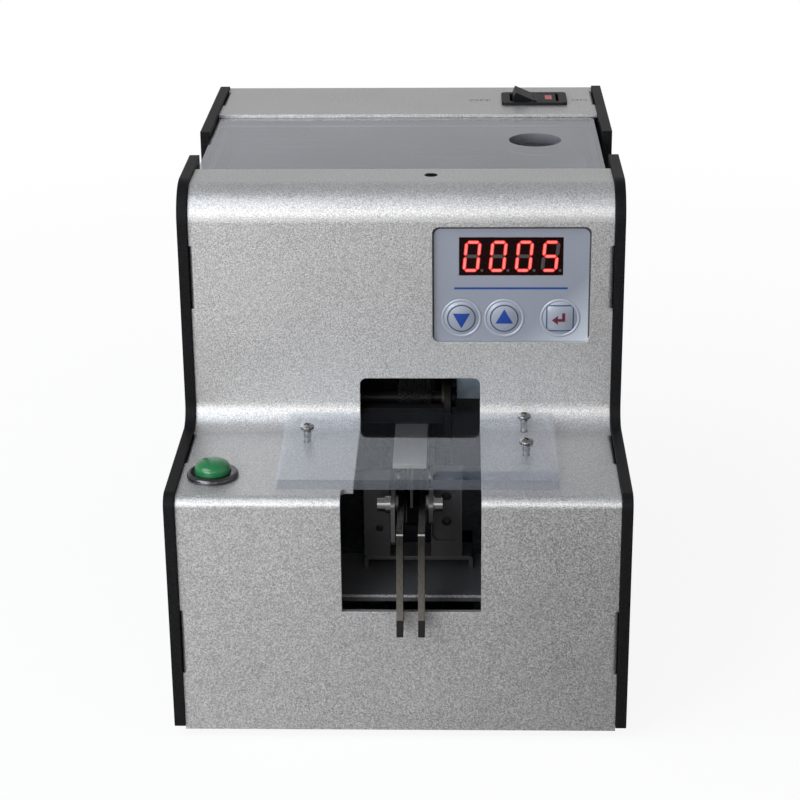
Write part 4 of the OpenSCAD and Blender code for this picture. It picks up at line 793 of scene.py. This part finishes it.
def keyRim(name, key, finish):
    # embossed rim in the film around a key: a low arch turned about the key's middle
    low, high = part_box(key)
    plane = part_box("counter_overlay")[0].y
    middle = Vector(((low.x + high.x) / 2, plane, (low.z + high.z) / 2))
    inner, outer, rise = keyMarks["rimInner"], keyMarks["rimOuter"], keyMarks["rimHigh"]
    steps, turns = keyMarks["rimSteps"], keyMarks["rimTurns"]
    arch = []
    for step in range(steps + 1):
        angle = math.pi * step / steps
        arch.append(((inner + outer) / 2 - math.cos(angle) * (outer - inner) / 2, -math.sin(angle) * rise))
    work = bmesh.new()
    rings = []
    for step in range(turns):
        turn = 2 * math.pi * step / turns
        rings.append([work.verts.new(middle + Vector((r * math.cos(turn), y, r * math.sin(turn))) * mm)
                      for r, y in arch])
    for here, after in zip(rings, rings[1:] + rings[:1]):
        joinRings(work, here, after)
    bmesh.ops.recalc_face_normals(work, faces=list(work.faces))
    for face in work.faces:
        face.smooth = True
    addPiece(name, closeMesh(name, work), finish, "machine")


def makeKeyMarks():
    blue = inkFinish("blueInk", keyMarks["blue"])
    slate = inkFinish("slateInk", keyMarks["slate"])
    red = inkFinish("redInk", keyMarks["red"])
    # the rims' lighter film is a painted highlight
    pale = metalOrPlastic("litRimFilm", litRimFilm)
    circle = (ringLoop(*keyMarks["ringOuter"]), ringLoop(*keyMarks["ringInner"]))
    square = (ringLoop(*keyMarks["squareOuter"]), ringLoop(*keyMarks["squareInner"]))
    prints = {"down": (circle, keyMarks["down"], blue), "up": (circle, keyMarks["up"], blue),
              "set": (square, keyMarks["enter"], red)}
    for key, (ring, mark, ink) in prints.items():
        domePrint(key + "KeyRing", key + "_key", [ring], [], slate)
        domePrint(key + "KeyMark", key + "_key", [], [mark], ink)
    for key in prints:
        keyRim(key + "KeyRim", key + "_key", pale)
    rule = keyMarks["rule"]
    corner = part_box("counter_overlay")[0] + Vector((rule["left"], 0, rule["up"])) * mm
    line = [[(0, 0), (rule["wide"], 0), (rule["wide"], rule["high"]), (0, rule["high"])]]
    mesh = raisedPrint("overlayRule", line, facing(corner), rule["thick"])
    addPiece("overlayRule", mesh, blue, "machine")


makeKeyMarks()
print("key marks printed")


# words beside the switch and the red mark on its rocker, lengths in mm

switchMarks = {
    "words": {"off": {"text": "OFF", "middle": 23.8, "wide": 7.2},
              "on": {"text": "ON", "middle": 57.0, "wide": 5.2}},
    "size": 3.4, "thick": 0.02, "ink": (0.14, 0.14, 0.15),
    # the rocker's top at its middle and at its end, its half length, and its tilt at rest
    "rocker": {"middle": 0.8, "end": 2.3, "half": 7.2, "tilt": 12},
    "markWide": 2.3, "markDeep": 5.6, "markOut": 4.6, "markThick": 0.05, "red": (0.50, 0.10, 0.12)}


def makeWords():
    ink = inkFinish("greyInk", switchMarks["ink"])
    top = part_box("rear_cover")[1].z
    low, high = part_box("switch_housing")
    middle = (low.y + high.y) / 2
    for key, word in switchMarks["words"].items():
        curve = bpy.data.curves.new(key + "Label", "FONT")
        curve.body = word["text"]
        curve.align_x = "CENTER"
        curve.align_y = "CENTER"
        curve.extrude = switchMarks["thick"] * mm
        curve.size = switchMarks["size"] * mm
        label = bpy.data.objects.new(key + "Label", curve)
        bpy.context.scene.collection.objects.link(label)
        bpy.context.view_layer.update()
        stretch = word["wide"] * mm / label.dimensions.x
        mesh = bpy.data.meshes.new_from_object(label.evaluated_get(bpy.context.evaluated_depsgraph_get()))
        bpy.data.objects.remove(label)
        place = Matrix.Translation((word["middle"] * mm, middle, top))
        mesh.transform(place @ Matrix.Diagonal((stretch, 1, 1, 1)))
        mesh.materials.clear()
        addPiece(key + "Label", mesh, ink, "machine")


def makeRockerDot():
    joint = next(j for j in frame["joints"] if j["name"] == "power_switch")
    red = inkFinish("rockerRed", switchMarks["red"])
    half, deep = switchMarks["markWide"] / 2, switchMarks["markDeep"] / 2
    square = [[(-half, -deep), (half, -deep), (half, deep), (-half, deep)]]
    rocker = switchMarks["rocker"]
    ramp = math.atan2(rocker["end"] - rocker["middle"], rocker["half"])
    tilt = Matrix.Translation(Vector(joint["pos_m"])) @ Matrix.Rotation(math.radians(rocker["tilt"]), 4, "Y")
    onRamp = (Matrix.Translation(Vector((0, 0, rocker["middle"])) * mm) @ Matrix.Rotation(-ramp, 4, "Y")
              @ Matrix.Translation(Vector((switchMarks["markOut"], 0, 0)) * mm))
    mesh = raisedPrint("rockerDot", square, tilt @ onRamp, switchMarks["markThick"])
    addPiece("rockerDot", mesh, red, "rocker")


makeWords()
makeRockerDot()
print("switch marks made")


# start button: a full, smooth cap

startCap = {"dome": 2.75, "full": 2.25, "turns": 64, "steps": 14}


def makeStartCap():
    low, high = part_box("start_button_cap")
    middle = (low + high) / 2
    radius = (high.x - low.x) / 2
    dome = startCap["dome"] * mm
    profile = [(radius, low.z)]
    for step in range(startCap["steps"]):
        angle = math.pi / 2 * step / startCap["steps"]
        out = math.cos(angle) ** (2 / startCap["full"])
        rise = math.sin(angle) ** (2 / startCap["full"])
        profile.append((radius * out, high.z - dome + dome * rise))
    work = bmesh.new()
    loops = []
    for turn in range(startCap["turns"]):
        angle = 2 * math.pi * turn / startCap["turns"]
        loops.append([work.verts.new((middle.x + r * math.cos(angle), middle.y + r * math.sin(angle), z))
                      for r, z in profile])
    top = work.verts.new((middle.x, middle.y, high.z))
    for here, after in zip(loops, loops[1:] + loops[:1]):
        for i in range(len(profile) - 1):
            work.faces.new((here[i], after[i], after[i + 1], here[i + 1]))
        work.faces.new((here[-1], after[-1], top))
    work.faces.new([loop[0] for loop in loops][::-1])
    bmesh.ops.recalc_face_normals(work, faces=list(work.faces))
    for face in work.faces:
        face.smooth = len(face.verts) < 5
    mesh = closeMesh("greenCap", work)
    piece = addPiece("greenCap", mesh, finishes["button_green"], "start_button")
    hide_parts("start_button_cap")


makeStartCap()
print("start cap made")


# leaf springs of the rail: two straight leaves in place of the CAD node

springs = {"thick": 0.8, "steps": 20}


def makeSprings():
    low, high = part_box("leaf_springs")
    thick, steps = springs["thick"] * mm, springs["steps"]
    levels = [low.z + (high.z - low.z) * step / steps for step in range(steps + 1)]
    work = bmesh.new()
    for back in (low.y, high.y - thick):
        corners = ((low.x, back), (high.x, back), (high.x, back + thick), (low.x, back + thick))
        closedBar(work, [[(x, y, z) for x, y in corners] for z in levels])
    bmesh.ops.recalc_face_normals(work, faces=list(work.faces))
    mesh = closeMesh("springLeaves", work)
    mesh.materials.append(finishes["spring_steel"])
    piece = bpy.data.objects.new("springLeaves", mesh)
    bpy.context.scene.collection.objects.link(piece)
    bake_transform(piece)
    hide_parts("leaf_springs")


makeSprings()
print("leaf springs made")


# brush: a core with rows of bristles, each of which strays a little, lengths in mm

brush = {
    "core": 3.0, "facets": 40, "rows": 11, "tufts": 26, "bristles": 5, "thick": 0.16, "root": 0.9,
    "taper": 0.6, "clear": 0.05, "seed": 7, "strayTurn": 0.06, "lean": 0.05, "spread": 0.35,
    "strayTip": 0.3, "short": 0.5}


def addBristle(work, draw, x, turn, half, reach):
    angle = turn + draw.uniform(-brush["strayTurn"], brush["strayTurn"])
    lean = draw.uniform(-brush["lean"], brush["lean"])
    along = x + draw.uniform(-brush["spread"], brush["spread"])
    tipX = max(-half, min(half, along + draw.uniform(-brush["strayTip"], brush["strayTip"])))
    length = reach - draw.uniform(0, brush["short"])
    core, sunk = brush["core"], brush["root"]
    root = Vector((along, math.cos(angle) * core * sunk, math.sin(angle) * core * sunk))
    tip = Vector((tipX, math.cos(angle + lean) * length, math.sin(angle + lean) * length))
    across = Vector((0, -math.sin(angle), math.cos(angle))) * brush["thick"] / 2
    ahead = Vector((brush["thick"] / 2, 0, 0))
    sides = (across, ahead, -across, -ahead)
    closedBar(work, [[root + side for side in sides], [tip + side * brush["taper"] for side in sides]])


def makeBrush():
    low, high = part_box("brush_roll")
    centre = (low + high) / 2
    reach = (high.z - low.z) / 2 / mm - brush["clear"]
    half = (high.x - low.x) / 2 / mm
    draw = random.Random(brush["seed"])
    work = bmesh.new()
    lying = Matrix.Rotation(math.radians(90), 4, "Y")
    bmesh.ops.create_cone(work, cap_ends=True, segments=brush["facets"], radius1=brush["core"],
                          radius2=brush["core"], depth=2 * half, matrix=lying)
    for row in range(brush["rows"]):
        x = -half + (row + 0.5) * 2 * half / brush["rows"]
        for tuft in range(brush["tufts"]):
            turn = (tuft + 0.5 * (row % 2)) * 2 * math.pi / brush["tufts"]
            for _ in range(brush["bristles"]):
                addBristle(work, draw, x, turn, half, reach)
    bmesh.ops.recalc_face_normals(work, faces=list(work.faces))
    for vert in work.verts:
        vert.co = centre + vert.co * mm
    mesh = closeMesh("bristleBrush", work)
    piece = addPiece("bristleBrush", mesh, finishes["brush_nylon"], "brush")
    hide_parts("brush_roll")


makeBrush()
print("brush made")
